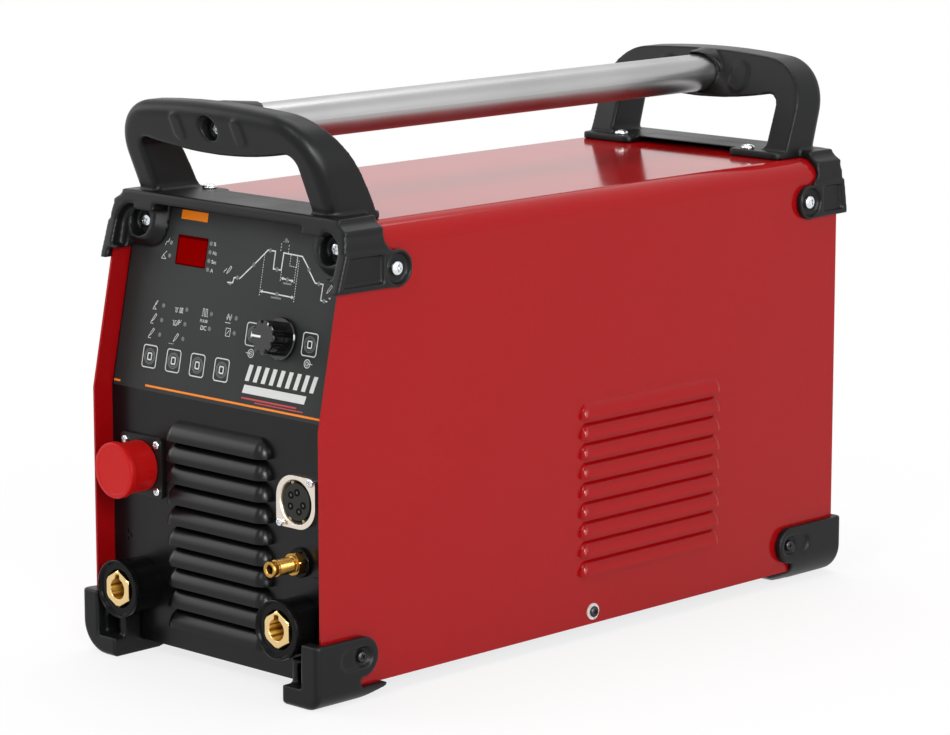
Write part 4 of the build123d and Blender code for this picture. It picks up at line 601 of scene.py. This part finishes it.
# ------------------------------------------------------------------ screws
def add_pan_head(bm, matrix, radius, height, turn=0.0):
    """Pan head with a cross recess, sitting on the matrix's XY plane."""
    r, h = radius, height
    segments = 32
    profile = [(r * 0.93, 0), (r, h * 0.25), (r * 0.96, h * 0.6), (r * 0.80, h * 0.86), (r * 0.56, h)]
    add_lathe(bm, matrix, profile, segments)
    rim = [bm.verts.new(spot(matrix, *polar(r * 0.56, 2 * math.pi * k / segments), h))
           for k in range(segments)]
    arm, half = r * 0.50, r * 0.13
    cross = []
    for q in range(4):
        a = turn + q * math.pi / 2
        c, s = math.cos(a), math.sin(a)
        for x, y in ((half, -half), (arm, -half), (arm, half)):
            cross.append((x * c - y * s, x * s + y * c))
    top = [bm.verts.new(spot(matrix, x, y, h)) for x, y in cross]
    floor = [bm.verts.new(spot(matrix, x * 0.82, y * 0.82, h * 0.45)) for x, y in cross]
    count = len(cross)
    for k in range(count):
        n = (k + 1) % count
        bm.faces.new((top[n], top[k], floor[k], floor[n]))
    bm.faces.new(floor[::-1])
    edges = []
    for loop in (rim, top):
        for k in range(len(loop)):
            edges.append(bm.edges.get((loop[k], loop[(k + 1) % len(loop)])) or
                         bm.edges.new((loop[k], loop[(k + 1) % len(loop)])))
    bmesh.ops.triangle_fill(bm, edges=edges, use_beauty=True, use_dissolve=False)
    bmesh.ops.remove_doubles(bm, verts=bm.verts, dist=1e-7)


def panel_face_y(z):
    return RECESS + (z - BREAK) * math.tan(TILT)


CUP_X, CUP_Z = 84.6, 268.8
CUP_FLOOR = 1.8
PLATE_TOP = 288.6
PLATE_SCREW_X = 56.5
PLATE_SCREW_Y = (58.0, 436.0)
TOE_X, TOE_Z, TOE_RISE = 86.0, 18.5, 4.0
REMOTE_PITCH = 14.65
FAN_Z, FAN_PITCH = 76.0, 52.5
SIDES = (-1, 1)
cup_y = panel_face_y(CUP_Z) - FOIL - 0.1 - CUP_FLOOR
bracket_seats = [facing_front(s * CUP_X, cup_y, CUP_Z) for s in SIDES]
bracket_seats += [facing_rear(s * CUP_X, REAR_FACE + FOIL + CUP_FLOOR, CUP_Z) for s in SIDES]
bracket_seats += [place(P(s * PLATE_SCREW_X, y, PLATE_TOP), (1, 0, 0), (0, 0, 1))
                  for s in SIDES for y in PLATE_SCREW_Y]
bracket_seats += [facing_side(s, SIDE_SEAT, y, BOSS_Z) for s in SIDES for y in BOSS_Y.values()]
bracket_seats += [facing_front(0, TUBE_SEATS["front"], TUBE_Z), facing_rear(0, TUBE_SEATS["rear"], TUBE_Z)]
case_seats = [facing_side(s, FOOT_SEAT, y, FOOT_Z) for s in SIDES for y in FOOT_SCREW_Y.values()]
case_seats += [facing_side(s, 102.5, 236.0, 16.5) for s in SIDES]
case_seats += [facing_front(s * TOE_X, RECESS - 0.1 - TOE_RISE, TOE_Z) for s in SIDES]
case_seats += [facing_rear(s * TOE_X, REAR_FACE + 0.1 + TOE_RISE, TOE_Z) for s in SIDES]
connector_seats = [facing_front(REMOTE_X + i * REMOTE_PITCH, RECESS - 2.4, REMOTE_Z + k * REMOTE_PITCH)
                   for i in SIDES for k in SIDES]
connector_seats += [facing_front(TRIGGER_X + s * 13.4, RECESS - 2.6, TRIGGER_Z + s * 13.7) for s in SIDES]
fan_seats = [facing_rear(i * FAN_PITCH, REAR_FACE + 1.8, FAN_Z + k * FAN_PITCH)
             for i in SIDES for k in SIDES]


def screws(name, seats, radius, height, node):
    bm = bmesh.new()
    for index, seat in enumerate(seats):
        add_pan_head(bm, seat, radius, height, turn=0.4 + 0.9 * index)
        add_lathe(bm, seat, [(0, -6), (radius * 0.5, -6), (radius * 0.5, 0.02)], 16)
    piece(name, bm, slot_of[node], "case", (node,), 40)


screws("bracket_screw_heads", bracket_seats, 4.6, 2.6, "bracket_screws")
screws("case_screw_heads", case_seats, 3.6, 2.0, "case_screws")
screws("connector_screw_heads", connector_seats, 2.7, 1.7, "connector_screws")
screws("fan_screw_heads", fan_seats, 3.6, 2.0, "fan_screws")


# ------------------------------------------------------------------ knob and dust cap
def make_knob():
    bm = bmesh.new()
    base = FOIL + 0.5
    m = on_slope(KNOB_U, KNOB_V)
    add_lathe(bm, m, [(3.2, base), (12.2, base), (12.9, base + 0.5), (12.9, base + 1.9), (12.3, base + 2.6),
                      (9.0, base + 2.6)], 96)
    count, flutes, radius = 216, 9, 10.4
    levels = [(2.4, 0.0), (12.0, 0.0), (15.2, 0.10), (16.1, 0.45), (16.5, 1.1)]
    rings = []
    for height, inset in levels:
        ring = []
        for k in range(count):
            a = 2 * math.pi * k / count
            phase = (a / (2 * math.pi) * flutes) % 1.0
            dip = max(0.0, math.cos((phase - 0.5) * 2 * math.pi * 0.92)) ** 1.3
            r = radius - 1.9 * dip - inset
            ring.append(bm.verts.new(spot(m, *polar(r, a), base + height)))
        rings.append(ring)
    for lower, upper in zip(rings, rings[1:]):
        for k in range(count):
            n = (k + 1) % count
            bm.faces.new((lower[k], lower[n], upper[n], upper[k]))
    bm.faces.new(rings[-1])
    piece("knob_body", bm, "knob_plastic", "encoder_knob", ("knob",), 30)
    bm = bmesh.new()
    add_slab(bm, m, [(-9.4, -0.65), (-1.2, -0.65), (-1.2, 0.65), (-9.4, 0.65)], base + 16.2, base + 16.56)
    add_slab(bm, m, [(-9.75, -0.65), (-9.3, -0.65), (-9.3, 0.65), (-9.75, 0.65)], base + 12.5, base + 16.3)
    piece("knob_line", bm, "pointer_white", "encoder_knob", ("knob_pointer",), 30)


make_knob()


def make_cap():
    bm = bmesh.new()
    m = facing_front(REMOTE_X, RECESS, REMOTE_Z)
    base, length = 2.8, 22.4
    top = base + length
    profile = [(14.0, base), (15.6, base), (16.0, base + 0.5), (16.0, top - 5.2), (16.3, top - 4.7),
               (17.2, top - 4.5), (17.6, top - 4.0), (17.6, top - 1.2), (17.3, top - 0.4), (16.5, top),
               (14.8, top), (14.4, top - 0.25), (0, top - 0.25)]
    add_lathe(bm, m, profile, 96)
    add_lathe(bm, m, [(14.0, base), (14.0, top - 2), (0, top - 2)], 96)
    piece("dust_cap_body", bm, "cap_red", "dust_cap_body", ("dust_cap",), 28)


make_cap()


# ------------------------------------------------------------------ welding sockets and gas outlet
def hexagon(flats, turn=0.0, per_side=1):
    """Points of a hexagon given across flats, with extra points along each side."""
    reach = flats / 2 / math.cos(math.pi / 6)
    corners = [polar(reach, turn + k * math.pi / 3) for k in range(6)]
    points = []
    for k in range(6):
        a, b = corners[k], corners[(k + 1) % 6]
        for j in range(per_side):
            f = j / per_side
            points.append((a[0] + (b[0] - a[0]) * f, a[1] + (b[1] - a[1]) * f))
    return points


def add_loft(bm, matrix, sections):
    """Faces between successive closed rings of (points, height)."""
    rings = [[bm.verts.new(spot(matrix, x, y, h)) for x, y in points] for points, h in sections]
    for lower, upper in zip(rings, rings[1:]):
        count = len(lower)
        for k in range(count):
            n = (k + 1) % count
            bm.faces.new((lower[k], lower[n], upper[n], upper[k]))
    return rings


def clipped(points, radius):
    """Points pulled in to a radius where they pass it."""
    out = []
    for x, y in points:
        r = math.hypot(x, y)
        f = min(1.0, radius / r)
        out.append((x * f, y * f))
    return out


def keyhole(count):
    """Bore with a key slot at its top, from its top anticlockwise."""
    radius, slot_half, slot_top = 6.5, 2.1, 9.0
    points = []
    for k in range(count):
        x, y = polar(radius, math.pi / 2 + 2 * math.pi * k / count)
        if y > 0 and abs(x) < slot_half:
            y = slot_top - 0.4 * (abs(x) / slot_half) ** 4
        points.append((x, y))
    return points


def scaled(points, factor):
    return [(x * factor, y * factor) for x, y in points]


def make_socket(side, word):
    m = facing_front(side * SOCKET_X, RECESS, SOCKET_Z)
    face, seat, fluting = 22.5, 15.7, 12
    bm = bmesh.new()
    profile = [(17.0, 0), (17.0, 17.2), (17.4, 17.6), (18.0, 17.9), (18.25, 18.3), (18.25, 22.1),
               (18.1, 22.6), (17.7, 22.9), (17.1, 22.9), (16.75, 22.6), (16.1, 21.3), (15.7, 20.9),
               (12.3, 20.9), (11.94, 20.6), (11.94, 15.6), (9.6, 15.6), (9.6, 0.2), (13.4, 0.2)]
    add_lathe(bm, m, profile, 96)
    piece(f"{word}_collar", bm, "socket_black", "case", (f"{word}_socket_collar",), 32)

    bm = bmesh.new()
    hexa = hexagon(20.5, math.radians(90), 24)
    count = len(hexa)
    bore = keyhole(count)
    add_loft(bm, m, [(hexa, seat), (hexa, face - 0.9), (clipped(hexa, 11.2), face - 0.5),
                     (scaled(clipped(hexa, 11.0), 0.955), face), (scaled(bore, 1.05), face),
                     (bore, face - 0.4)])
    add_lathe(bm, m, [(9.4, seat), (9.4, -12.5), (5.0, -12.5), (5.0, -29.0), (0, -29.0)], 48)
    piece(f"{word}_insert", bm, "brass_parts", "case", (f"{word}_socket_insert",), 30)

    bm = bmesh.new()
    fluted = []
    for k, (x, y) in enumerate(bore):
        grow = 1.0 - 0.030 * (1 + math.cos(2 * math.pi * fluting * k / count))
        fluted.append((x * grow, y * grow))
    add_loft(bm, m, [(bore, face - 0.4), (fluted, face - 1.2), (fluted, face - 25.5),
                     (scaled(bore, 0.02), face - 26)])
    piece(f"{word}_bore", bm, "bore_gold", "case", (), 30)


for side, word in ((-1, "left"), (1, "right")):
    make_socket(side, word)


def make_outlet():
    bm = bmesh.new()
    m = facing_front(OUTLET_X, RECESS, OUTLET_Z)
    add_lathe(bm, m, [(5.2, 0), (9.0, 0), (9.0, 2.1), (8.6, 2.6), (5.2, 2.6)], 64)
    piece("outlet_base", bm, "socket_black", "case", ("outlet_boss",), 32)
    bm = bmesh.new()
    start = math.radians(15)
    hexa = hexagon(13.0, start, 12)
    inner = [polar(5.0, start + 2 * math.pi * k / len(hexa)) for k in range(len(hexa))]
    add_loft(bm, m, [(inner, 2.6), (clipped(hexa, 6.7), 2.6), (hexa, 3.2), (hexa, 6.7),
                     (clipped(hexa, 6.75), 7.6), (inner, 7.6)])
    profile = [(5.0, 7.4), (4.3, 7.8), (4.3, 9.6), (5.0, 10.2)]
    z = 10.2
    while z < 20.0:
        profile += [(5.0, z), (4.75, z + 0.4), (5.0, z + 0.8)]
        z += 0.8
    profile += [(5.0, 20.9), (4.3, 21.1), (4.3, 23.2), (4.95, 23.6), (5.0, 24.2), (5.0, 25.3), (4.6, 26.0),
                (3.3, 26.0), (2.7, 25.4), (2.6, 24.8), (2.6, -20), (3.88, -20), (3.88, 2.6)]
    add_lathe(bm, m, profile, 64)
    piece("outlet_nipple", bm, "outlet_brass", "case", ("gas_outlet",), 34)


make_outlet()


# ------------------------------------------------------------------ control panel print
KEYS = [(-68.1, 21.5), (-46.3, 21.5), (-24.4, 21.5), (-2.6, 21.5), (21.0, 46.0), (70.0, 46.0)]
KEY_W, KEY_H = 13.4, 14.6


def shift(points, u, v):
    return [(x + u, y + v) for x, y in points]


for index, (u, v) in enumerate(KEYS):
    body = f"key_body_{index + 1}"

    def draw_key(bm, high, u=u, v=v):
        outer = rounded_box(KEY_W - 0.3, KEY_H - 0.3, 2.2)
        inner = rounded_box(KEY_W - 1.6, KEY_H - 1.6, 1.6)
        add_slab(bm, SLOPE, shift(outer, u, v), PRINT_LOW, high, [shift(inner, u, v)])
        outer = rounded_box(4.2, 4.9, 1.1)
        inner = rounded_box(2.6, 3.2, 0.5)
        add_slab(bm, SLOPE, shift(outer, u, v), PRINT_LOW, high, [shift(inner, u, v)])

    print_piece(f"key_marks_{index + 1}", "print_white", draw_key, body)

    def draw_rings(bm, high, u=u, v=v):
        for radius, width in ((4.9, 0.35), (3.9, 0.3)):
            add_slab(bm, SLOPE, circle(radius, 40, u, v), PRINT_LOW, high - 0.01,
                     [circle(radius - width, 40, u, v)])

    print_piece(f"key_rings_{index + 1}", "print_grey", draw_rings, body)


CYCLE = [
    [(-8.0, 74.2), (-3.2, 74.4), (-2.5, 77.6), (-0.8, 77.9)],
    [(2.2, 77.4), (12.0, 86.2)],
    [(14.2, 88.2), (23.7, 97.2), (24.6, 97.2)],
    [(26.9, 97.2), (30.2, 97.2), (30.4, 86.6), (32.2, 86.6)],
    [(34.9, 86.6), (37.2, 86.6), (37.5, 97.0), (53.7, 96.6), (59.9, 90.6)],
    [(61.4, 88.5), (67.4, 82.3), (69.3, 82.3)],
    [(71.9, 82.3), (74.2, 82.3), (74.0, 72.8), (75.6, 72.6)],
    [(78.0, 72.6), (79.6, 72.6)],
    [(39.6, 81.9), (42.2, 81.7)], [(45.0, 81.6), (47.8, 81.3)],
    [(23.2, 72.3), (35.0, 72.0)], [(37.8, 72.0), (49.6, 71.7)],
]
ARROWS = [((38.0, 81.9), -1), ((49.2, 81.3), 1), ((21.6, 72.3), -1), ((51.0, 71.7), 1)]
DOTTED = [((34.6, 97.8), (34.6, 103.2)), ((41.3, 97.2), (41.3, 103.0)), ((43.9, 96.4), (43.9, 90.0)),
          ((43.9, 90.0), (50.0, 89.6)), ((50.0, 89.6), (50.0, 96.0)), ((21.4, 94.5), (21.4, 69.0)),
          ((37.6, 86.0), (37.6, 79.5)), ((49.6, 96.0), (49.6, 79.5)), ((51.4, 94.0), (51.4, 68.4)),
          ((36.0, 103.4), (36.6, 104.2)), ((39.8, 104.2), (40.8, 103.4))]


def draw_cycle(bm, high):
    for line in CYCLE:
        add_line(bm, SLOPE, line, 0.75, PRINT_LOW, high)
    for (u, v), way in ARROWS:
        outline = [(u, v), (u - way * 2.0, v + 1.1), (u - way * 2.0, v - 1.1)]
        add_slab(bm, SLOPE, outline[::way], PRINT_LOW, high)


def draw_dotted(bm, high):
    for (u0, v0), (u1, v1) in DOTTED:
        count = max(1, int(math.hypot(u1 - u0, v1 - v0) / 1.5))
        for k in range(count):
            dash = [(u0 + (u1 - u0) * f, v0 + (v1 - v0) * f) for f in (k / count, (k + 0.55) / count)]
            add_line(bm, SLOPE, dash, 0.38, PRINT_LOW, high)


print_piece("cycle_lines", "print_white", draw_cycle)
print_piece("cycle_dots", "print_white", draw_dotted)


def orange(bm, high):
    add_line(bm, SLOPE, [(-97.6, 3.5), (-92.0, 3.5)], 1.3, PRINT_LOW, high)
    add_line(bm, SLOPE, [(-68.5, 3.5), (97.6, 3.5)], 1.3, PRINT_LOW, high)


print_piece("orange_line", "print_orange", orange)


def sticker(bm, high):
    add_slab(bm, SLOPE, shift(rounded_box(23.8, 5.6, 0.4), -44.5, 112.0 - 1.2), PRINT_LOW, high + 0.05)


print_piece("orange_sticker", "sticker_orange", sticker)


def underlines(bm, high):
    add_line(bm, SLOPE, [(18.0, 7.6), (66.0, 7.6)], 1.0, PRINT_LOW, high)
    add_line(bm, SLOPE, [(30.0, 5.9), (72.0, 5.9)], 0.7, PRINT_LOW, high)


print_piece("red_underlines", "print_red", underlines)


def stripes(bm, high):
    """Plain slanted bars where the photographed machine has words."""
    for k in range(9):
        u = 19.0 + 7.0 * k
        add_slab(bm, SLOPE, [(u, 18.0), (u + 3.4, 18.0), (u + 6.0, 28.0), (u + 2.6, 28.0)], PRINT_LOW, high)
    add_slab(bm, SLOPE, [(18.0, 10.6), (72.0, 10.6), (73.3, 15.6), (19.3, 15.6)], PRINT_LOW, high)


print_piece("plain_stripes", "print_white", stripes)


SHAPES = {
    "stick": [[(0, 0), (0.95, 0), (0.35, 0.55), (0, 0)], [(0.35, 0.55), (1.0, 1.15)]],
    "zigzag": [[(0, 0), (0.18, 0.55), (0.62, 0.62), (0.82, 1.15)]],
    "torch": [[(0, 0), (0.42, 0.34), (0.84, 0.92), (0.66, 1.08), (0.22, 0.52), (0, 0)]],
    "corner": [[(0.12, 0.42), (0, 0), (0.55, 0)]],
    "pulse": [[(0, 0), (0.14, 0), (0.14, 0.8), (0.38, 0.8), (0.38, 0), (0.60, 0), (0.60, 0.8),
               (0.84, 0.8), (0.84, 0), (1.0, 0)]],
    "step": [[(0, 0.8), (0.30, 0.8), (0.30, 0), (0.65, 0), (0.65, 0.8), (1.0, 0.8)]],
    "line": [[(0, 0), (1.0, 0)]],
    "box": [[(0.1, 0), (0.9, 0), (0.9, 1.0), (0.1, 1.0), (0.1, 0)], [(0.3, 0.25), (0.7, 0.75)]],
    "arrow": [[(0, 0.5), (0.6, 0.5)], [(0.4, 0.75), (0.65, 0.5), (0.4, 0.25)]],
    "dots": [[(0, 0), (0.18, 0)], [(0.38, 0), (0.56, 0)], [(0.76, 0), (0.94, 0)]],
    "waves": [[(0, 0.2), (0.3, 0.8), (0.6, 0.2), (0.9, 0.8)],
              [(0.1, 0), (0.4, 0.55), (0.7, 0), (1.0, 0.55)]],
}
SYMBOLS = [
    ("zigzag", -67.6, 90.4, 4.0), ("stick", -69.6, 82.2, 4.2),
    ("stick", -71.2, 50.6, 3.2), ("torch", -69.6, 53.2, 2.8),
    ("corner", -71.4, 41.8, 4.6), ("torch", -70.6, 43.0, 4.6),
    ("corner", -71.8, 32.8, 4.6), ("torch", -71.0, 34.0, 4.6),
    ("step", -51.0, 51.2, 3.2), ("pulse", -47.0, 51.2, 3.6),
    ("step", -51.8, 43.0, 3.6), ("torch", -48.6, 42.6, 3.8), ("zigzag", -46.2, 43.6, 2.8),
    ("dots", -52.4, 31.6, 4.4), ("torch", -48.8, 33.0, 5.0),
    ("pulse", -26.4, 51.6, 5.6),
    ("waves", -4.2, 51.8, 4.6), ("line", -5.0, 50.2, 4.8),
    ("box", -3.8, 42.2, 4.8),
    ("zigzag", -12.2, 79.6, 2.6), ("torch", -9.6, 79.2, 4.6),
    ("torch", 78.0, 77.2, 5.0), ("arrow", 80.2, 73.4, 2.6),
]
WORDS = [
    ("%", -24.3, 94.6, 3.2), ("Hz", -24.3, 89.2, 3.2), ("Sec", -24.3, 83.8, 3.2), ("A", -24.2, 78.4, 3.4),
    ("PULSE", -27.2, 47.9, 2.5), ("DC", -26.2, 43.2, 3.8),
]


def draw_symbols(bm, high):
    for name, u, v, size in SYMBOLS:
        for line in SHAPES[name]:
            add_line(bm, SLOPE, [(u + x * size, v + y * size) for x, y in line], 0.34, PRINT_LOW, high)
    for u, v in ((21.0, 34.6), (70.0, 34.6)):
        add_slab(bm, SLOPE, circle(2.7, 32, u, v), PRINT_LOW, high, [circle(2.2, 32, u, v)])
        add_slab(bm, SLOPE, circle(1.4, 32, u, v), PRINT_LOW, high, [circle(1.0, 32, u, v)])
        reach = -4.4 if u < 40 else 4.4
        add_line(bm, SLOPE, [(u, v), (u + reach, v)], 0.42, PRINT_LOW, high)


def draw_words(bm, high):
    for text, u, v, size in WORDS:
        curve = bpy.data.curves.new("word", "FONT")
        curve.body = text
        curve.size = size
        curve.offset = 0.02
        holder = bpy.data.objects.new("word", curve)
        mesh = bpy.data.meshes.new_from_object(holder)
        mesh.transform(SLOPE @ Matrix.Scale(MM, 4) @ Matrix.Translation((u, v, high)))
        bm.from_mesh(mesh)
        bpy.data.objects.remove(holder)
        bpy.data.curves.remove(curve)
        bpy.data.meshes.remove(mesh)


print_piece("panel_symbols", "print_white", draw_symbols)
print_piece("panel_words", "print_white", draw_words)


def draw_captions(bm, high):
    for u0, v0, u1 in ((40.4, 79.2, 47.6), (31.6, 69.8, 40.4)):
        add_line(bm, SLOPE, [(u0, v0), (u1, v0)], 1.0, PRINT_LOW, high)


print_piece("panel_captions", "print_grey", draw_captions)


# ------------------------------------------------------------------ trigger connector trim
INSERT_FACE = 1.9


def make_shell_lining():
    """Plated inside of the flange's opening with the three keys of its plug; its olive metal is much darker
    than the flange's nickel as painted shade inside the opening.
    """
    m = facing_front(TRIGGER_X, RECESS, TRIGGER_Z)
    bm = bmesh.new()
    add_lathe(bm, m, [(13.2, 1.9), (11.7, -1.5), (11.45, -3.9)], 96)
    for middle, width in ((-118, 12), (-62, 9), (106, 10)):
        turns = [math.radians(middle + width * k / 4) for k in range(-2, 3)]
        outline = [polar(12.9, a) for a in turns] + [polar(11.4, a) for a in reversed(turns)]
        add_slab(bm, m, outline, -1.2, 1.7)
    piece("shell_lining", bm, "shaded_shell_olive", "case", (), 60)


def make_contact_rings():
    """Contact block's front face, near the flange's own, with its five contacts; the near-black ring round
    each is painted shade in the holes.
    """
    m = facing_front(TRIGGER_X, RECESS, TRIGGER_Z)
    block, rings, pins = bmesh.new(), bmesh.new(), bmesh.new()
    profile = [(0, INSERT_FACE), (11.0, INSERT_FACE), (11.3, INSERT_FACE - 0.3), (11.3, -3.85)]
    add_lathe(block, m, profile, 96)
    for degrees in (84, 141, 211, 292, 348):
        cx, cy = polar(5.9, math.radians(degrees))
        bore = circle(1.2, 32, cx, cy)
        # near-black raised ring round each contact: painted shade of the hole
        add_slab(rings, m, circle(2.2, 32, cx, cy), INSERT_FACE - 0.02, INSERT_FACE + 0.25, [bore])
        add_slab(pins, m, circle(0.8, 24, cx, cy), INSERT_FACE - 2.6, INSERT_FACE + 0.1)
    piece("contact_block", block, "block_grey", "case", (), 30)
    piece("contact_ring_shadows", rings, "ring_shadow_black", "case")
    piece("contact_pins", pins, "contact_grey", "case")


def display_rim(bm, high):
    """Frame about the window, wider along its top."""
    u, v, half_w, half_h = -43.2, 89.2, 13.6, 9.1
    top, foot, side = 1.8, 0.8, 0.9
    for left, low, right, up in ((-half_w, half_h - top, half_w, half_h),
                                 (-half_w, -half_h, half_w, -half_h + foot),
                                 (-half_w, -half_h, -half_w + side, half_h),
                                 (half_w - side, -half_h, half_w, half_h)):
        outline = [(left, low), (right, low), (right, up), (left, up)]
        add_slab(bm, SLOPE, shift(outline, u, v), 0.35, high)


make_shell_lining()
print_piece("display_rim", "display_edge", display_rim, high=0.54)
make_contact_rings()


# ------------------------------------------------------------------ stage, light and camera
def background_share(nodes, links):
    """Socket that is 1 for camera, glossy and transmission rays, so metal shows the background too."""
    path = nodes.new("ShaderNodeLightPath")
    total = path.outputs["Is Camera Ray"]
    for kind in ("Is Glossy Ray", "Is Transmission Ray"):
        add = nodes.new("ShaderNodeMath")
        add.operation = "ADD"
        add.use_clamp = True
        links.new(total, add.inputs[0])
        links.new(path.outputs[kind], add.inputs[1])
        total = add.outputs[0]
    return total


def make_floor():
    bm = bmesh.new()
    size = 6.0
    corners = [bm.verts.new((x * size, y * size, 0)) for x, y in ((-1, -1), (1, -1), (1, 1), (-1, 1))]
    bm.faces.new(corners)
    mesh = bpy.data.meshes.new("floor")
    bm.to_mesh(mesh)
    bm.free()
    obj = bpy.data.objects.new("floor", mesh)
    bpy.context.scene.collection.objects.link(obj)
    m = bpy.data.materials.new("floor_white")
    m.use_nodes = True
    nodes, links = m.node_tree.nodes, m.node_tree.links
    nodes.clear()
    out = nodes.new("ShaderNodeOutputMaterial")
    diffuse = nodes.new("ShaderNodeBsdfDiffuse")
    diffuse.inputs["Color"].default_value = (0.88, 0.88, 0.88, 1)
    glow = nodes.new("ShaderNodeEmission")
    glow.inputs["Color"].default_value = (1, 1, 1, 1)
    mix = nodes.new("ShaderNodeMixShader")
    coords = nodes.new("ShaderNodeTexCoord")
    distance = nodes.new("ShaderNodeVectorMath")
    distance.operation = "LENGTH"
    links.new(coords.outputs["Object"], distance.inputs[0])
    spread = nodes.new("ShaderNodeMapRange")
    spread.interpolation_type = "SMOOTHSTEP"
    spread.inputs["From Min"].default_value = 0.25
    spread.inputs["From Max"].default_value = 0.75
    spread.inputs["To Min"].default_value = 0.78
    spread.inputs["To Max"].default_value = 1.0
    links.new(distance.outputs["Value"], spread.inputs["Value"])
    share = nodes.new("ShaderNodeMath")
    share.operation = "MULTIPLY"
    links.new(spread.outputs["Result"], share.inputs[1])
    links.new(background_share(nodes, links), share.inputs[0])
    links.new(share.outputs[0], mix.inputs["Fac"])
    links.new(diffuse.outputs[0], mix.inputs[1])
    links.new(glow.outputs[0], mix.inputs[2])
    links.new(mix.outputs[0], out.inputs["Surface"])
    mesh.materials.append(m)


make_floor()


def make_world():
    world = bpy.data.worlds.new("studio")
    bpy.context.scene.world = world
    world.use_nodes = True
    nodes, links = world.node_tree.nodes, world.node_tree.links
    nodes.clear()
    out = nodes.new("ShaderNodeOutputWorld")
    plain = nodes.new("ShaderNodeBackground")
    plain.inputs["Color"].default_value = (1, 1, 1, 1)
    plain.name = "studio_fill"
    coords = nodes.new("ShaderNodeTexCoord")
    toward = nodes.new("ShaderNodeVectorMath")
    toward.operation = "DOT_PRODUCT"
    toward.inputs[1].default_value = Vector((-0.80, 0.60, 0.0))
    links.new(coords.outputs["Generated"], toward.inputs[0])
    level = nodes.new("ShaderNodeMapRange")
    level.interpolation_type = "SMOOTHSTEP"
    level.inputs["From Min"].default_value = -0.25
    level.inputs["From Max"].default_value = 0.85
    level.inputs["To Min"].default_value = 0.16
    level.inputs["To Max"].default_value = 0.95
    links.new(toward.outputs["Value"], level.inputs["Value"])
    links.new(level.outputs["Result"], plain.inputs["Strength"])
    seen = nodes.new("ShaderNodeBackground")
    seen.inputs["Color"].default_value = (1, 1, 1, 1)
    seen.inputs["Strength"].default_value = 1.0
    mix = nodes.new("ShaderNodeMixShader")
    links.new(background_share(nodes, links), mix.inputs["Fac"])
    links.new(plain.outputs[0], mix.inputs[1])
    links.new(seen.outputs[0], mix.inputs[2])
    links.new(mix.outputs[0], out.inputs["Surface"])


make_world()


def add_light(name, position, target, size, energy, size_y=None, glint=False):
    data = bpy.data.lights.new(name, "AREA")
    data.shape = "RECTANGLE"
    data.size = size
    data.size_y = size_y or size
    data.energy = energy
    obj = bpy.data.objects.new(name, data)
    obj.location = position
    obj.rotation_euler = (Vector(target) - Vector(position)).to_track_quat("-Z", "Y").to_euler()
    obj.visible_diffuse = not glint
    bpy.context.scene.collection.objects.link(obj)


add_light("key_right", (2.0, -1.35, 1.05), (0, -0.1, 0.15), 0.55, 26, 0.95)
add_light("key_soft", (0.5, -2.2, 2.0), (0, 0, 0.15), 1.0, 20)
add_light("right_soft", (2.6, 0.8, 1.3), (0, 0, 0.15), 1.6, 17)
add_light("top_soft", (-0.4, 0.6, 2.6), (0, 0, 0.2), 2.0, 36)
add_light("left_fill", (-2.4, -1.4, 1.2), (0, 0, 0.15), 1.4, 18)
add_light("glint_front", (2.2, -1.2, 1.1), (0, -0.1, 0.15), 0.7, 26, 0.7, glint=True)
add_light("glint_right", (2.6, -0.45, 0.75), (0, -0.1, 0.15), 1.5, 45, glint=True)

FOCAL_PX, WIDTH_PX = 3733.5, 950
camera_data = bpy.data.cameras.new("camera")
camera_data.sensor_fit = "HORIZONTAL"
camera_data.sensor_width = 36.0
camera_data.lens = FOCAL_PX / WIDTH_PX * camera_data.sensor_width
camera = bpy.data.objects.new("camera", camera_data)
camera.location = P(1645.3, -1459.2, 603.5)
aim = P(5.673, 228.137, 161.772)
camera.rotation_euler = (aim - camera.location).to_track_quat("-Z", "Y").to_euler()
camera_data.clip_end = 50
bpy.context.scene.collection.objects.link(camera)
bpy.context.scene.camera = camera
bpy.context.scene.view_settings.view_transform = "Standard"

bpy.context.view_layer.update()
